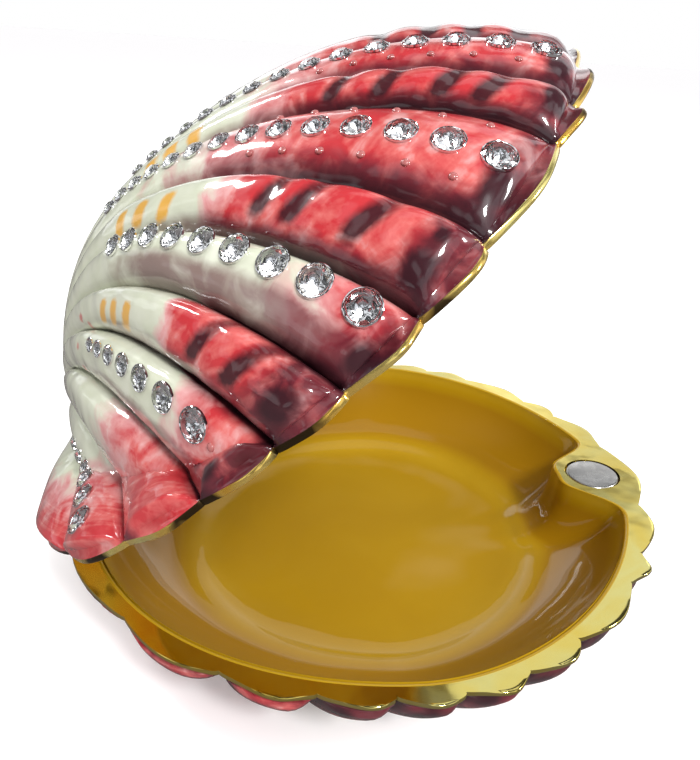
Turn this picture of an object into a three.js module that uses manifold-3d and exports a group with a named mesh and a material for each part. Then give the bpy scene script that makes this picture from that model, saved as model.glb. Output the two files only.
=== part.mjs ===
// A hinged trinket box in the form of a scallop shell: two cast shells joined by a pin hinge at the back,
// rows of crystals on every other rib of the lid, and a pair of round magnets that hold the lid shut.
// Millimetres. +Z is up, -Y is the front where the box opens, and the origin is the centre of the underside.
import * as THREE from "three";
import { mergeVertices } from "three/addons/utils/BufferGeometryUtils.js";
import Module from "manifold-3d";

const wasm = await Module();
wasm.setup();

// ---------------------------------------------------------------- driving dimensions
const HALF_WIDTH = 32;
const FRONT_REACH = 28.9;
const BACK_REACH = 32.3;
const FRONT_FULLNESS = 1.8; // exponents of the oval outline: 2 is an ellipse, more is squarer
const BACK_FULLNESS = 2.14;

const BASE_DEPTH = 11; // from the rim plane down to what the box stands on
const LID_HEIGHT = 15.4; // from the lid's rim up to its crown
const CLOSED_GAP = 0.3; // between the two rims when the box is shut
const LID_OPEN = 41; // degrees, as the box is displayed
const FLANGE_THICKNESS = 0.7;
const FLANGE_WIDTH = 0.7;

const BEAK_Y = 27.3; // where all the ribs start
const CROWN_Y = 6.4;
const DOME_BACK = 28; // the lid's dome ends here at the back, and a low apron runs on to the rim
const DOME_BACK_FULLNESS = 1.5; // it narrows towards the beak

// Edges of the ribs where they meet the rim, in degrees round the beak from straight ahead, for one side.
const RIB_EDGES = [6.7, 16, 21.4, 32.7, 38.9, 46, 50.9, 57.6, 66.8, 80.1, 116];
const RIB_SWEEP = 0.32; // how much the ribs bend outwards on their way to the rim
const RIB_DEPTH = 1.8; // crest over groove at the rim, on a wide rib
const RIB_DEPTH_PER_WIDTH = 0.38; // the same for a narrow rib, as a share of its width
const CREST_LEVEL = 0.45; // the part of a rib's depth that lies under the smooth dome
// From the centre rib outwards: how far each crest lies towards the front, as a share of the half-width.
const CREST_LEANS = [0, 0, 0.2, 0, 0.45, 0.45, 0.5, 0.45, 0.45, 0.2, 0];
const CREST_POINTEDNESS = 2.2; // exponents of a rib's section: how sharply it falls from the crest,
const GROOVE_SHARPNESS = 0.6; // and how steeply it ends in the groove
const RIB_START = 0.05; // the ribs rise out of the smooth beak between these shares of their length
const RIB_FULL = 0.75;
const SCALLOP_LEVEL = 0.65; // the part of a scallop that lies inside the smooth outline

const CRYSTAL_RIBS = [1, 3, 5, 7, 9]; // counted from the centre rib, on both sides
const CRYSTALS_PER_RIB = 5; // the large ones; smaller ones fill each row up to the beak
const LARGEST_CRYSTAL = 2.1;
const CRYSTAL_SPACING = 1.48; // between centres, in diameters
const CRYSTAL_SHRINKS = [0.955, 0.955, 0.955, 0.88, 0.88]; // each stone against the last, row by row
const FIRST_CRYSTAL_INSETS = [2.5, 1.7, 1.9, 3.5, 2.3]; // from the foot of the rib to the first stone

const MAGNET_Y = -24.1;
const MAGNET_RADIUS = 3;
const MAGNET_THICKNESS = 1.4;
const FIT_GAP = 0.15; // round glued-in pieces

const HINGE_Y = 33.2;
const HINGE_DROP = 0.4; // the hinge's axis lies this far under the base's rim
const KNUCKLE_RADIUS = 1.5;
const HINGE_HALF_LENGTH = 6;
const LID_KNUCKLE_HALF_LENGTH = 2;
const PIN_RADIUS = 0.5;

const RIM_Z = BASE_DEPTH;
const HINGE_Z = RIM_Z - HINGE_DROP;
const radians = THREE.MathUtils.degToRad;

// ---------------------------------------------------------------- solids
function solidOf(geometry) {
  const bare = geometry.clone();
  bare.deleteAttribute("normal");
  bare.deleteAttribute("uv");
  const merged = mergeVertices(bare, 1e-4);
  return new wasm.Manifold(
    new wasm.Mesh({
      numProp: 3,
      vertProperties: merged.attributes.position.array,
      triVerts: new Uint32Array(merged.index.array),
    }),
  );
}

function geometryOf(solid) {
  const mesh = solid.getMesh();
  const geometry = new THREE.BufferGeometry();
  geometry.setAttribute("position", new THREE.BufferAttribute(mesh.vertProperties, 3));
  geometry.setIndex(new THREE.BufferAttribute(mesh.triVerts, 1));
  return geometry;
}

function box(width, length, height, x, y, z) {
  return solidOf(new THREE.BoxGeometry(width, length, height).translate(x, y, z));
}

// An upright frustum from height low to height high.
function post(lowRadius, highRadius, low, high, x, y, sides = 24) {
  const shape = new THREE.CylinderGeometry(highRadius, lowRadius, high - low, sides);
  return solidOf(shape.rotateX(Math.PI / 2).translate(x, y, (low + high) / 2));
}

// A rod along X, centred on the hinge's axis in the closed box.
function hingeRod(radius, fromX, toX, sides = 16) {
  const shape = new THREE.CylinderGeometry(radius, radius, toX - fromX, sides);
  shape.rotateZ(Math.PI / 2);
  return solidOf(shape.translate((fromX + toX) / 2, HINGE_Y, -HINGE_DROP));
}

// ---------------------------------------------------------------- the oval outline
class Oval {
  constructor(halfWidth, front, back, backFullness = BACK_FULLNESS) {
    this.halfWidth = halfWidth;
    this.front = front;
    this.back = back;
    this.backFullness = backFullness;
  }

  // Under 1 inside, 1 on the outline.
  level(x, y) {
    const power = y > 0 ? this.backFullness : FRONT_FULLNESS;
    const reach = y > 0 ? this.back : this.front;
    return (Math.abs(x) / this.halfWidth) ** power + (Math.abs(y) / reach) ** power;
  }

  // The distance from (0, y) to the outline along a direction.
  reach(y, dx, dy) {
    let near = 0;
    let far = 3 * this.halfWidth;
    for (let step = 0; step < 40; step++) {
      const middle = (near + far) / 2;
      if (this.level(middle * dx, y + middle * dy) < 1) near = middle;
      else far = middle;
    }
    return near;
  }

  // 0 at the centre (0, y0) and 1 on the outline.
  share(x, y, y0) {
    const distance = Math.hypot(x, y - y0);
    if (distance < 1e-9) return 0;
    return Math.min(1, distance / this.reach(y0, x / distance, (y - y0) / distance));
  }
}

const rim = new Oval(HALF_WIDTH, FRONT_REACH, BACK_REACH);

// ---------------------------------------------------------------- ribs
// Every rib as {from, to, index}: degrees round the beak, and its place counted from the centre rib.
function layOutRibs() {
  const edges = RIB_EDGES;
  const ribs = [{ from: -edges[0], to: edges[0], index: 0 }];
  for (let i = 1; i < edges.length; i++) {
    ribs.push({ from: edges[i - 1], to: edges[i], index: i });
    ribs.unshift({ from: -edges[i], to: -edges[i - 1], index: i });
  }
  ribs.push({ from: edges.at(-1), to: 360 - edges.at(-1), index: edges.length });
  return ribs;
}

const ribs = layOutRibs();
const HEEL = RIB_EDGES.length; // the plain stretch under the beak, where the hinge is

function heading(angle) {
  return [-Math.sin(radians(angle)), -Math.cos(radians(angle))];
}

function ribDepth(rib) {
  if (rib.index === HEEL) return 0;
  const middle = heading((rib.from + rib.to) / 2);
  const width = radians(rib.to - rib.from) * rim.reach(BEAK_Y, ...middle);
  return Math.min(RIB_DEPTH, RIB_DEPTH_PER_WIDTH * width);
}

function crestOf(rib) {
  if (rib.index === 0 || rib.index === HEEL) return 0;
  return rib.to > 0 ? -CREST_LEANS[rib.index] : CREST_LEANS[rib.index];
}

// The section of a rib: 0 in the groove on each side, 1 on the crest, for v from -1 to 1.
function ribSection(rib, v) {
  const crest = crestOf(rib);
  const fromCrest = v < crest ? (crest - v) / (1 + crest) : (v - crest) / (1 - crest);
  return Math.max(0, 1 - fromCrest ** CREST_POINTEDNESS) ** GROOVE_SHARPNESS;
}

// A rib's line bends outwards as it runs from the beak (s = 0) to the rim (s = 1).
function sweptHeading(angle, s) {
  const sweep = RIB_SWEEP * (1 - s) * (0.5 + 0.5 * Math.cos(radians(angle)));
  return heading(angle * (1 - sweep));
}

function smoothstep(low, high, value) {
  const t = THREE.MathUtils.clamp((value - low) / (high - low), 0, 1);
  return t * t * (3 - 2 * t);
}

// ---------------------------------------------------------------- the outer form of each half
// Heights are measured away from the rim plane, up for the lid and down for the base. Every rounded form here
// falls from 1 at its middle to 0 on its outline: flatTop says how flat it stays, and wall how steep it ends.
function falling(share, flatTop, wall) {
  return (1 - share ** flatTop) ** wall;
}

const LID_FLAT_TOP = 2.2;
const LID_WALL = 0.8;
const APRON_HEIGHT = 3; // under the beak, falling away to the rim
const BEAK_RISE = 0.4;
const BEAK_SPREAD = 2.5;

const lidForm = {
  foot: new Oval(HALF_WIDTH - FLANGE_WIDTH, FRONT_REACH - FLANGE_WIDTH, DOME_BACK, DOME_BACK_FULLNESS),
  height(x, y) {
    const fall = falling(this.foot.share(x, y, CROWN_Y), LID_FLAT_TOP, LID_WALL);
    const dome = (LID_HEIGHT - FLANGE_THICKNESS) * fall;
    const apron = APRON_HEIGHT * falling(rim.share(x, y, BEAK_Y), 1, LID_WALL);
    const beak = BEAK_RISE * Math.exp(-((Math.hypot(x, y - BEAK_Y) / BEAK_SPREAD) ** 2));
    return FLANGE_THICKNESS + Math.cbrt(dome ** 3 + apron ** 3) + beak;
  },
  scallop: 0.5, // how far the rim follows the ribs, as a share of their depth
  rows: [0.08, 0.22, 0.37, 0.52, 0.66, 0.79, 0.91, 1],
  across: [-1, -0.8, -0.45, 0, 0.45, 0.8],
};

const BASE_FULL_DEPTH = 12.2; // the rounded underside is cut off flat at BASE_DEPTH
const BASE_CENTRE_Y = 3;
const BASE_FLAT_TOP = 2.6;
const BASE_WALL = 0.75;
const baseForm = {
  foot: new Oval(HALF_WIDTH - FLANGE_WIDTH, FRONT_REACH - FLANGE_WIDTH, BACK_REACH - FLANGE_WIDTH),
  height(x, y) {
    const fall = falling(this.foot.share(x, y, BASE_CENTRE_Y), BASE_FLAT_TOP, BASE_WALL);
    return FLANGE_THICKNESS + (BASE_FULL_DEPTH - FLANGE_THICKNESS) * fall;
  },
  scallop: 0.75,
  rows: [0.08, 0.25, 0.45, 0.62, 0.78, 0.9, 1],
  across: [-1, -0.7, 0, 0.7],
};

// The smooth surface under the ribs, at a rib line's angle and a share s of the way to the foot of the rib.
function smoothPoint(form, angle, s) {
  const length = rim.reach(BEAK_Y, ...heading(angle)) - FLANGE_WIDTH;
  const [dx, dy] = sweptHeading(angle, s);
  const along = Math.min(s * length, rim.reach(BEAK_Y, dx, dy) - FLANGE_WIDTH);
  const x = along * dx;
  const y = BEAK_Y + along * dy;
  return new THREE.Vector3(x, y, form.height(x, y));
}

const SHARE_STEP = 0.01; // for measuring slopes
const ANGLE_STEP = 0.5;

function smoothNormal(form, angle, s) {
  const inner = Math.max(SHARE_STEP, Math.min(s, 1 - 1.5 * SHARE_STEP));
  const beyond = smoothPoint(form, angle, inner + SHARE_STEP);
  const alongRib = beyond.sub(smoothPoint(form, angle, inner - SHARE_STEP));
  const beside = smoothPoint(form, angle + ANGLE_STEP, inner);
  const acrossRibs = beside.sub(smoothPoint(form, angle - ANGLE_STEP, inner));
  const normal = alongRib.cross(acrossRibs).normalize();
  return normal.z < 0 ? normal.negate() : normal;
}

function angleIn(rib, v) {
  return (rib.from + rib.to) / 2 + (v * (rib.to - rib.from)) / 2;
}

function ribbedPoint(form, rib, v, s) {
  const angle = angleIn(rib, v);
  const rise = ribDepth(rib) * smoothstep(RIB_START, RIB_FULL, s) * (ribSection(rib, v) - CREST_LEVEL);
  return smoothPoint(form, angle, s).addScaledVector(smoothNormal(form, angle, s), rise);
}

const FLANGE_EDGE_SHARE = 0.7; // the flange's outer face is this share of its thickness high
const HEEL_ACROSS = [-1, -0.8, -0.6, -0.4, -0.2, 0, 0.2, 0.4, 0.6, 0.8];

// A solid half without its hollow: ribbed outside, a scalloped flange at the rim, and flat on the rim plane.
// up is 1 for the lid and -1 for the base; the form is cut off flat at cutHeight from the rim plane.
function solidHalf(form, up, cutHeight, lift = 0) {
  const columns = [];
  for (const rib of ribs) {
    const across = rib.index === HEEL ? HEEL_ACROSS : form.across;
    for (const v of across) columns.push([rib, v + crestOf(rib) * (1 - Math.abs(v))]);
  }
  const rings = form.rows.map((s) => columns.map(([rib, v]) => ribbedPoint(form, rib, v, s)));
  const edge = columns.map(([rib, v]) => {
    const angle = angleIn(rib, v);
    const scallop = form.scallop * ribDepth(rib) * (ribSection(rib, v) - SCALLOP_LEVEL);
    const [dx, dy] = heading(angle);
    const length = rim.reach(BEAK_Y, dx, dy) + scallop;
    return new THREE.Vector3(length * dx, BEAK_Y + length * dy, 0);
  });
  rings.push(edge.map((point) => point.clone().setZ(FLANGE_EDGE_SHARE * FLANGE_THICKNESS)));
  rings.push(edge);

  const count = columns.length;
  const positions = [smoothPoint(form, 0, 0)];
  for (const ring of rings) positions.push(...ring);
  positions.push(new THREE.Vector3(0, 0, 0));
  const last = positions.length - 1;
  const triangles = [];
  for (let i = 0; i < count; i++) {
    const j = (i + 1) % count;
    triangles.push([0, 1 + i, 1 + j]);
    for (let row = 0; row + 1 < rings.length; row++) {
      const a = 1 + row * count;
      const b = a + count;
      triangles.push([a + i, b + i, b + j], [a + i, b + j, a + j]);
    }
    const bottom = 1 + (rings.length - 1) * count;
    triangles.push([last, bottom + j, bottom + i]);
  }
  const geometry = new THREE.BufferGeometry();
  const flat = positions.flatMap((p) => [p.x, p.y, up * THREE.MathUtils.clamp(p.z, 0, cutHeight)]);
  const facing = up > 0 ? triangles.map(([a, b, c]) => [a, c, b]) : triangles;
  geometry.setAttribute("position", new THREE.Float32BufferAttribute(flat, 3));
  geometry.setIndex(facing.flat());
  return solidOf(geometry.translate(0, 0, lift));
}

// ---------------------------------------------------------------- the hollows
const LID_HOLLOW_HEIGHT = 13.2;
const lidHollow = {
  mouth: new Oval(28.4, 25.6, 25.6, DOME_BACK_FULLNESS),
  depth(share) {
    return LID_HOLLOW_HEIGHT * falling(share, LID_FLAT_TOP, LID_WALL);
  },
  centreY: CROWN_Y,
};

const BOWL_DEPTH = 8.6;
const BOWL_FLAT_TOP = 3.6; // a flat floor and rather steep walls
const BOWL_WALL = 0.8;
const BOWL_CENTRE_Y = 1;
const bowl = {
  mouth: new Oval(29.9, 26.1, 30.2), // leaves a flat gold land, widest at the front
  depth(share) {
    return BOWL_DEPTH * falling(share, BOWL_FLAT_TOP, BOWL_WALL);
  },
  centreY: BOWL_CENTRE_Y,
};

// The land swells inwards round each magnet as a tongue, and a buttress under it fairs into the hollow.
const TONGUE_END_Y = MAGNET_Y + MAGNET_RADIUS + 1.3;
const TONGUE_HALF_WIDTH = 5;
// Where the hollows' corners lie, in degrees from the front: close together at the tongue.
const TONGUE_BEARINGS = [-24, -18, -14, -11, -8, -5, -2, 0, 2, 5, 8, 11, 14, 18, 24];
const OTHER_BEARINGS = Array.from({ length: 38 }, (_, i) => 32 + i * 8);
const BEARINGS = [...TONGUE_BEARINGS, ...OTHER_BEARINGS];

function hollowReach(form, bearing, share) {
  const dx = -Math.sin(radians(bearing));
  const dy = -Math.cos(radians(bearing));
  const reach = form.mouth.reach(form.centreY, dx, dy);
  const tongueDepth = TONGUE_END_Y - (form.centreY - form.mouth.reach(form.centreY, 0, -1));
  const across = Math.abs(reach * dx) / TONGUE_HALF_WIDTH;
  const inTongue = dy < 0 ? Math.exp(-(across ** 4) * Math.LN2) : 0;
  return share * (reach - tongueDepth * inTongue * share ** 3);
}

// A smooth cavity as a solid, with its mouth carried a little past the rim plane so that it cuts through.
function hollowSolid(form, up, lift = 0) {
  const shares = [0.3, 0.5, 0.66, 0.78, 0.88, 0.95, 1];
  const count = BEARINGS.length;
  const positions = [0, form.centreY, up * form.depth(0)];
  const addRing = (share, height) => {
    for (const bearing of BEARINGS) {
      const reach = hollowReach(form, bearing, share);
      const x = -reach * Math.sin(radians(bearing));
      const y = form.centreY - reach * Math.cos(radians(bearing));
      positions.push(x, y, up * height);
    }
  };
  for (const share of shares) addRing(share, form.depth(share));
  addRing(1, -1);
  positions.push(0, form.centreY, -up);
  const last = positions.length / 3 - 1;
  const triangles = [];
  for (let i = 0; i < count; i++) {
    const j = (i + 1) % count;
    triangles.push([0, 1 + j, 1 + i]);
    for (let row = 0; row < shares.length; row++) {
      const a = 1 + row * count;
      const b = a + count;
      triangles.push([a + i, b + j, b + i], [a + i, a + j, b + j]);
    }
    triangles.push([last, last - count + i, last - count + j]);
  }
  const facing = up > 0 ? triangles : triangles.map(([a, b, c]) => [a, c, b]);
  const geometry = new THREE.BufferGeometry();
  geometry.setAttribute("position", new THREE.Float32BufferAttribute(positions, 3));
  geometry.setIndex(facing.flat());
  return solidOf(geometry.translate(0, 0, lift));
}

// ---------------------------------------------------------------- hinge
const KNUCKLE_GAP = 0.2;
const KNUCKLE_CLEARANCE = 0.35;
const BORE_RADIUS = PIN_RADIUS + 0.08;
const LUG_START_Y = 29;
const LUG_THICKNESS = 1.2;

// A length of hinge barrel with the lug that joins it to its shell; lugLow is the lug's lower face.
function knuckle(fromX, toX, lugLow) {
  const lug = box(
    toX - fromX,
    HINGE_Y - LUG_START_Y,
    LUG_THICKNESS,
    (fromX + toX) / 2,
    (HINGE_Y + LUG_START_Y) / 2,
    lugLow + LUG_THICKNESS / 2,
  );
  return hingeRod(KNUCKLE_RADIUS, fromX, toX).add(lug);
}

const hingeBore = hingeRod(BORE_RADIUS, -HINGE_HALF_LENGTH - 1, HINGE_HALF_LENGTH + 1);

// ---------------------------------------------------------------- crystals
const CRYSTAL_SIDES = 8;
const CROWN_SHARE = 0.22; // this and the next two are shares of the stone's diameter
const TABLE_SHARE = 0.56;
const PAVILION_SHARE = 0.36;
const GIRDLE_RISE = 0.1; // the stone's widest edge stands this far over the enamel
const CREST_STEPS = 400; // for walking along a rib's crest

// Where a rib's stones sit, from the rim inwards: a point on the crest, the way out of it and a diameter.
function crystalPlaces(rib) {
  const places = [];
  const crest = crestOf(rib);
  let diameter = LARGEST_CRYSTAL;
  const row = CRYSTAL_RIBS.indexOf(rib.index);
  const shrink = CRYSTAL_SHRINKS[row];
  let wanted = FIRST_CRYSTAL_INSETS[row];
  let last = ribbedPoint(lidForm, rib, crest, 1);
  for (let i = 1; i < CREST_STEPS && places.length < CRYSTALS_PER_RIB; i++) {
    const s = 1 - i / CREST_STEPS;
    const point = ribbedPoint(lidForm, rib, crest, s);
    if (point.distanceTo(last) < wanted) continue;
    places.push({ point, normal: smoothNormal(lidForm, angleIn(rib, crest), s), diameter });
    last = point;
    wanted = (CRYSTAL_SPACING * diameter * (1 + shrink)) / 2;
    diameter *= shrink;
  }
  return places;
}

// A brilliant-cut stone on its place; grow makes it larger all round, for its socket.
function crystalGeometry(place, grow = 0) {
  const radius = place.diameter / 2 + grow;
  const crown = CROWN_SHARE * place.diameter;
  const profile = [
    new THREE.Vector2(0, -PAVILION_SHARE * place.diameter - grow),
    new THREE.Vector2(radius, 0),
    new THREE.Vector2(TABLE_SHARE * radius, crown),
    new THREE.Vector2(0, crown),
  ];
  const turn = new THREE.Quaternion().setFromUnitVectors(new THREE.Vector3(0, 0, 1), place.normal);
  const seat = place.point.clone().addScaledVector(place.normal, GIRDLE_RISE);
  const placing = new THREE.Matrix4().compose(seat, turn, new THREE.Vector3(1, 1, 1));
  placing.premultiply(new THREE.Matrix4().makeTranslation(0, 0, CLOSED_GAP));
  return new THREE.LatheGeometry(profile, CRYSTAL_SIDES).rotateX(Math.PI / 2).applyMatrix4(placing);
}

const crystalRows = ribs
  .filter((rib) => CRYSTAL_RIBS.includes(rib.index))
  .map((rib) => ({ rib, places: crystalPlaces(rib) }));

// ---------------------------------------------------------------- the shells
// Both are made in the closed box, with the base's rim plane as z = 0.
function magnetPocket(low, high) {
  return post(MAGNET_RADIUS + FIT_GAP, MAGNET_RADIUS + FIT_GAP, low, high, 0, MAGNET_Y);
}

function makeBase() {
  const gap = LID_KNUCKLE_HALF_LENGTH + KNUCKLE_GAP;
  return solidHalf(baseForm, -1, BASE_DEPTH)
    .subtract(hollowSolid(bowl, -1))
    .subtract(magnetPocket(-MAGNET_THICKNESS - FIT_GAP, 1))
    .subtract(hingeRod(KNUCKLE_RADIUS + KNUCKLE_CLEARANCE, -gap, gap))
    .add(knuckle(-HINGE_HALF_LENGTH, -gap, -LUG_THICKNESS))
    .add(knuckle(gap, HINGE_HALF_LENGTH, -LUG_THICKNESS))
    .subtract(hingeBore);
}

function makeLid() {
  const pocketTop = CLOSED_GAP + MAGNET_THICKNESS + FIT_GAP;
  const reach = HINGE_HALF_LENGTH + KNUCKLE_GAP;
  let shell = solidHalf(lidForm, 1, LID_HEIGHT + 1, CLOSED_GAP)
    .subtract(hollowSolid(lidHollow, 1, CLOSED_GAP))
    .subtract(magnetPocket(-1, pocketTop))
    .subtract(hingeRod(KNUCKLE_RADIUS + KNUCKLE_CLEARANCE, -reach, reach))
    .add(knuckle(-LID_KNUCKLE_HALF_LENGTH, LID_KNUCKLE_HALF_LENGTH, CLOSED_GAP))
    .subtract(hingeBore);
  for (const { places } of crystalRows) {
    for (const place of places) shell = shell.subtract(solidOf(crystalGeometry(place, FIT_GAP)));
  }
  return shell;
}

// ---------------------------------------------------------------- scene graph
function mesh(name, geometry, color, roughness, metalness) {
  const made = new THREE.Mesh(geometry, new THREE.MeshStandardMaterial({ color, roughness, metalness }));
  made.name = name;
  return made;
}

function magnetDisc(name, low) {
  const disc = new THREE.CylinderGeometry(MAGNET_RADIUS, MAGNET_RADIUS, MAGNET_THICKNESS, 24);
  disc.rotateX(Math.PI / 2).translate(0, MAGNET_Y, low + MAGNET_THICKNESS / 2);
  return mesh(name, disc, 0x9a9a94, 0.35, 0.9);
}

const shellBox = new THREE.Group();

const baseGroup = new THREE.Group();
baseGroup.position.z = RIM_Z;
baseGroup.add(mesh("base_shell", geometryOf(makeBase()), 0x8c3048, 0.2, 0.1));
baseGroup.add(magnetDisc("base_magnet", -MAGNET_THICKNESS));
const pin = new THREE.CylinderGeometry(PIN_RADIUS, PIN_RADIUS, 2 * HINGE_HALF_LENGTH, 12);
pin.rotateZ(Math.PI / 2).translate(0, HINGE_Y, -HINGE_DROP);
baseGroup.add(mesh("hinge_pin", pin, 0xc8a850, 0.3, 1));
shellBox.add(baseGroup);

// The lid turns about the hinge's axis; its children are placed as they lie in the closed box.
const lidPivot = new THREE.Group();
lidPivot.position.set(0, HINGE_Y, HINGE_Z);
lidPivot.rotation.x = -radians(LID_OPEN);
const lidGroup = new THREE.Group();
lidGroup.position.set(0, -HINGE_Y, HINGE_DROP);
lidGroup.add(mesh("lid_shell", geometryOf(makeLid()), 0xc0505a, 0.15, 0));
lidGroup.add(magnetDisc("lid_magnet", CLOSED_GAP));
for (const { rib, places } of crystalRows) {
  const side = rib.from < 0 ? "right" : "left";
  places.forEach((place, i) => {
    const name = `crystal_${side}_${CRYSTAL_RIBS.indexOf(rib.index) + 1}_${i + 1}`;
    lidGroup.add(mesh(name, crystalGeometry(place), 0xe8ecf0, 0.02, 0));
  });
}
lidPivot.add(lidGroup);
shellBox.add(lidPivot);

export default shellBox;
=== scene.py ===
# %% [markdown]
# # A jewelled scallop box
# The box is two cast shells on a hinge. Its outside is enamelled like a scallop, white at the beak and
# crimson at the rim, with rows of crystals on every other rib. Its inside is mustard enamel, and the rims
# are gilt. The solid model already gives every place and size, so it is loaded first as a fixed frame, and
# each part gets a finer skin that lies where the solid does.

# %% Load the frame
import math

import bmesh
import bpy
import numpy as np
from mathutils import Matrix, Vector
from mathutils.kdtree import KDTree


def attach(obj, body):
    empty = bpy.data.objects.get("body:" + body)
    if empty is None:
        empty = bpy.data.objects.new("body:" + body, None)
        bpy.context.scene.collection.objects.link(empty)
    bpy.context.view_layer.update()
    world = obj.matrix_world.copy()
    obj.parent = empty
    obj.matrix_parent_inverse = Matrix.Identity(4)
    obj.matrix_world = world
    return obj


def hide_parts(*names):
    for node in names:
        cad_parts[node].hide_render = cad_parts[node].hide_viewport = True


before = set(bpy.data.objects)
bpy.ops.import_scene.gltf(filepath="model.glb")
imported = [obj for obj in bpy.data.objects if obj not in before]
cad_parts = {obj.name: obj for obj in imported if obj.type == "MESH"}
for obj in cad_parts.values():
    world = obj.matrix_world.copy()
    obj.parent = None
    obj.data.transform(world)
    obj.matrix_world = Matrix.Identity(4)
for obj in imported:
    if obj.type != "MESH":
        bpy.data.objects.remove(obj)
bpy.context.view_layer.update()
MM = 0.001

# %% [markdown]
# ## The outline
# Seen from above, the box is an oval: a fuller curve at the back, a more pointed one in front. It could be
# a drawn curve, but the ribs, the bowl and the paint all have to know how far away it is. A rule of the form
# |x/a|^p + |y/b|^p = 1 draws both halves, each with its own reach and fullness, and answers that. Halving an
# interval finds the distance to the outline in some direction for thousands of points at once, and then the
# share of that way which a point has come.

# %% The oval
HALF_WIDTH = 32 * MM
FRONT_REACH = 28.9 * MM
BACK_REACH = 32.3 * MM
FRONT_FULLNESS = 1.8
BACK_FULLNESS = 2.14
HALVINGS = 40


class Oval:
    def __init__(self, half_width, front, back, back_fullness=BACK_FULLNESS):
        self.half_width = half_width
        self.front = front
        self.back = back
        self.back_fullness = back_fullness

    def level(self, x, y):
        """Under 1 inside, 1 on the outline."""
        power = np.where(y > 0, self.back_fullness, FRONT_FULLNESS)
        reach = np.where(y > 0, self.back, self.front)
        return (np.abs(x) / self.half_width) ** power + (np.abs(y) / reach) ** power

    def reach(self, y, dx, dy):
        """The distance from (0, y) to the outline along a direction."""
        near = np.zeros(np.broadcast(y, dx, dy).shape)
        far = near + 3 * self.half_width  # outside, whatever the direction
        for _ in range(HALVINGS):
            middle = (near + far) / 2
            inside = self.level(middle * dx, y + middle * dy) < 1
            near = np.where(inside, middle, near)
            far = np.where(inside, far, middle)
        return near

    def share(self, x, y, y0):
        """0 at the centre (0, y0) and 1 on the outline."""
        distance = np.maximum(np.hypot(x, y - y0), 1e-12)
        return np.minimum(1, distance / self.reach(y0, x / distance, (y - y0) / distance))


rim = Oval(HALF_WIDTH, FRONT_REACH, BACK_REACH)
print("rim:", round(2 * HALF_WIDTH / MM), "mm wide")

# %% [markdown]
# ## The ribs
# Every rib starts at the beak, near the hinge, and fans out to the rim, bending outwards on its way. The
# ribs could be bars joined to a dome, or sculpted by eye, but then paint and stones would have to be placed
# by eye too. Here a place on the shell is told by two numbers. The turn counts ribs from the centre one: 0
# is its crest, 0.5 the first groove, 1 the middle of the next rib, and so on to the plain heel under the
# beak. The share runs from 0 at the beak to 1 at the foot of the rib. The shell's two halves mirror each
# other.

# %% Ribs round the beak
BEAK_Y = 27.3 * MM
RIB_EDGES = [6.7, 16, 21.4, 32.2, 38.9, 45.4, 50.9, 57.6, 66.8, 80.1, 116]  # degrees from straight ahead
HEEL = len(RIB_EDGES)
LAST_TURN = HEEL + 0.5  # the middle of the heel
TURN_KNOTS = [0] + [rib + 0.5 for rib in range(HEEL)] + [LAST_TURN]
ANGLE_KNOTS = [0] + RIB_EDGES + [180]


def angle_of(turn):
    return np.sign(turn) * np.interp(np.abs(turn), TURN_KNOTS, ANGLE_KNOTS)


def heading(angle):
    """The direction at an angle from straight ahead."""
    return -np.sin(np.radians(angle)), -np.cos(np.radians(angle))


def rib_of(turn):
    return np.minimum(np.floor(np.abs(turn) + 0.5), HEEL).astype(int)


def across(turn):
    """-1 in the groove nearer the front, 1 in the next groove."""
    return 2 * (np.abs(turn) - rib_of(turn))


print("ribs:", 2 * HEEL - 1)

# %% [markdown]
# ### The section of a rib
# Cut across, a rib is a round back between two narrow grooves, and the ribs beside the centre lean forwards
# like tiles. One power curve from crest to groove draws it, with the crest moved to one side. A wide rib
# stands prouder than a narrow one, up to a limit.

# %% Depth and section
RIB_DEPTH = 1.8 * MM
RIB_DEPTH_PER_WIDTH = 0.38
CREST_LEANS = np.array([0, 0, 0.2, 0, 0.45, 0.45, 0.5, 0.45, 0.45, 0.2, 0, 0])  # towards the front
CREST_POINTEDNESS = 2.2
GROOVE_SHARPNESS = 0.6


def depth_of_ribs():
    depths = []
    for low, high in zip([-RIB_EDGES[0]] + RIB_EDGES, RIB_EDGES):
        width = math.radians(high - low) * float(rim.reach(BEAK_Y, *heading((low + high) / 2)))
        depths.append(min(RIB_DEPTH, RIB_DEPTH_PER_WIDTH * width))
    return np.array(depths + [0])


def crest_of(rib):
    return -CREST_LEANS[rib]


def section(turn):
    """0 in a groove, 1 on a crest."""
    v = across(turn)
    crest = crest_of(rib_of(turn))
    from_crest = np.where(v < crest, (crest - v) / (1 + crest), (v - crest) / (1 - crest))
    return np.clip(1 - from_crest**CREST_POINTEDNESS, 0, 1) ** GROOVE_SHARPNESS


def smoothstep(low, high, value):
    """0 below low, 1 above high, and a soft rise between."""
    t = np.clip((value - low) / (high - low), 0, 1)
    return t * t * (3 - 2 * t)


rib_depths = depth_of_ribs()
print("rib depths:", [round(depth / MM, 2) for depth in rib_depths], "mm")

# %% [markdown]
# ## The rounded forms
# Under the ribs each shell is a smooth cushion: flat on top and steep at its edge. A stretched sphere would
# be too steep or too flat somewhere. One falling curve with two exponents gives every such form here, the
# lid's dome, the low apron behind the beak, and the deep bowl. Heights are measured from the rim's plane.

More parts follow.
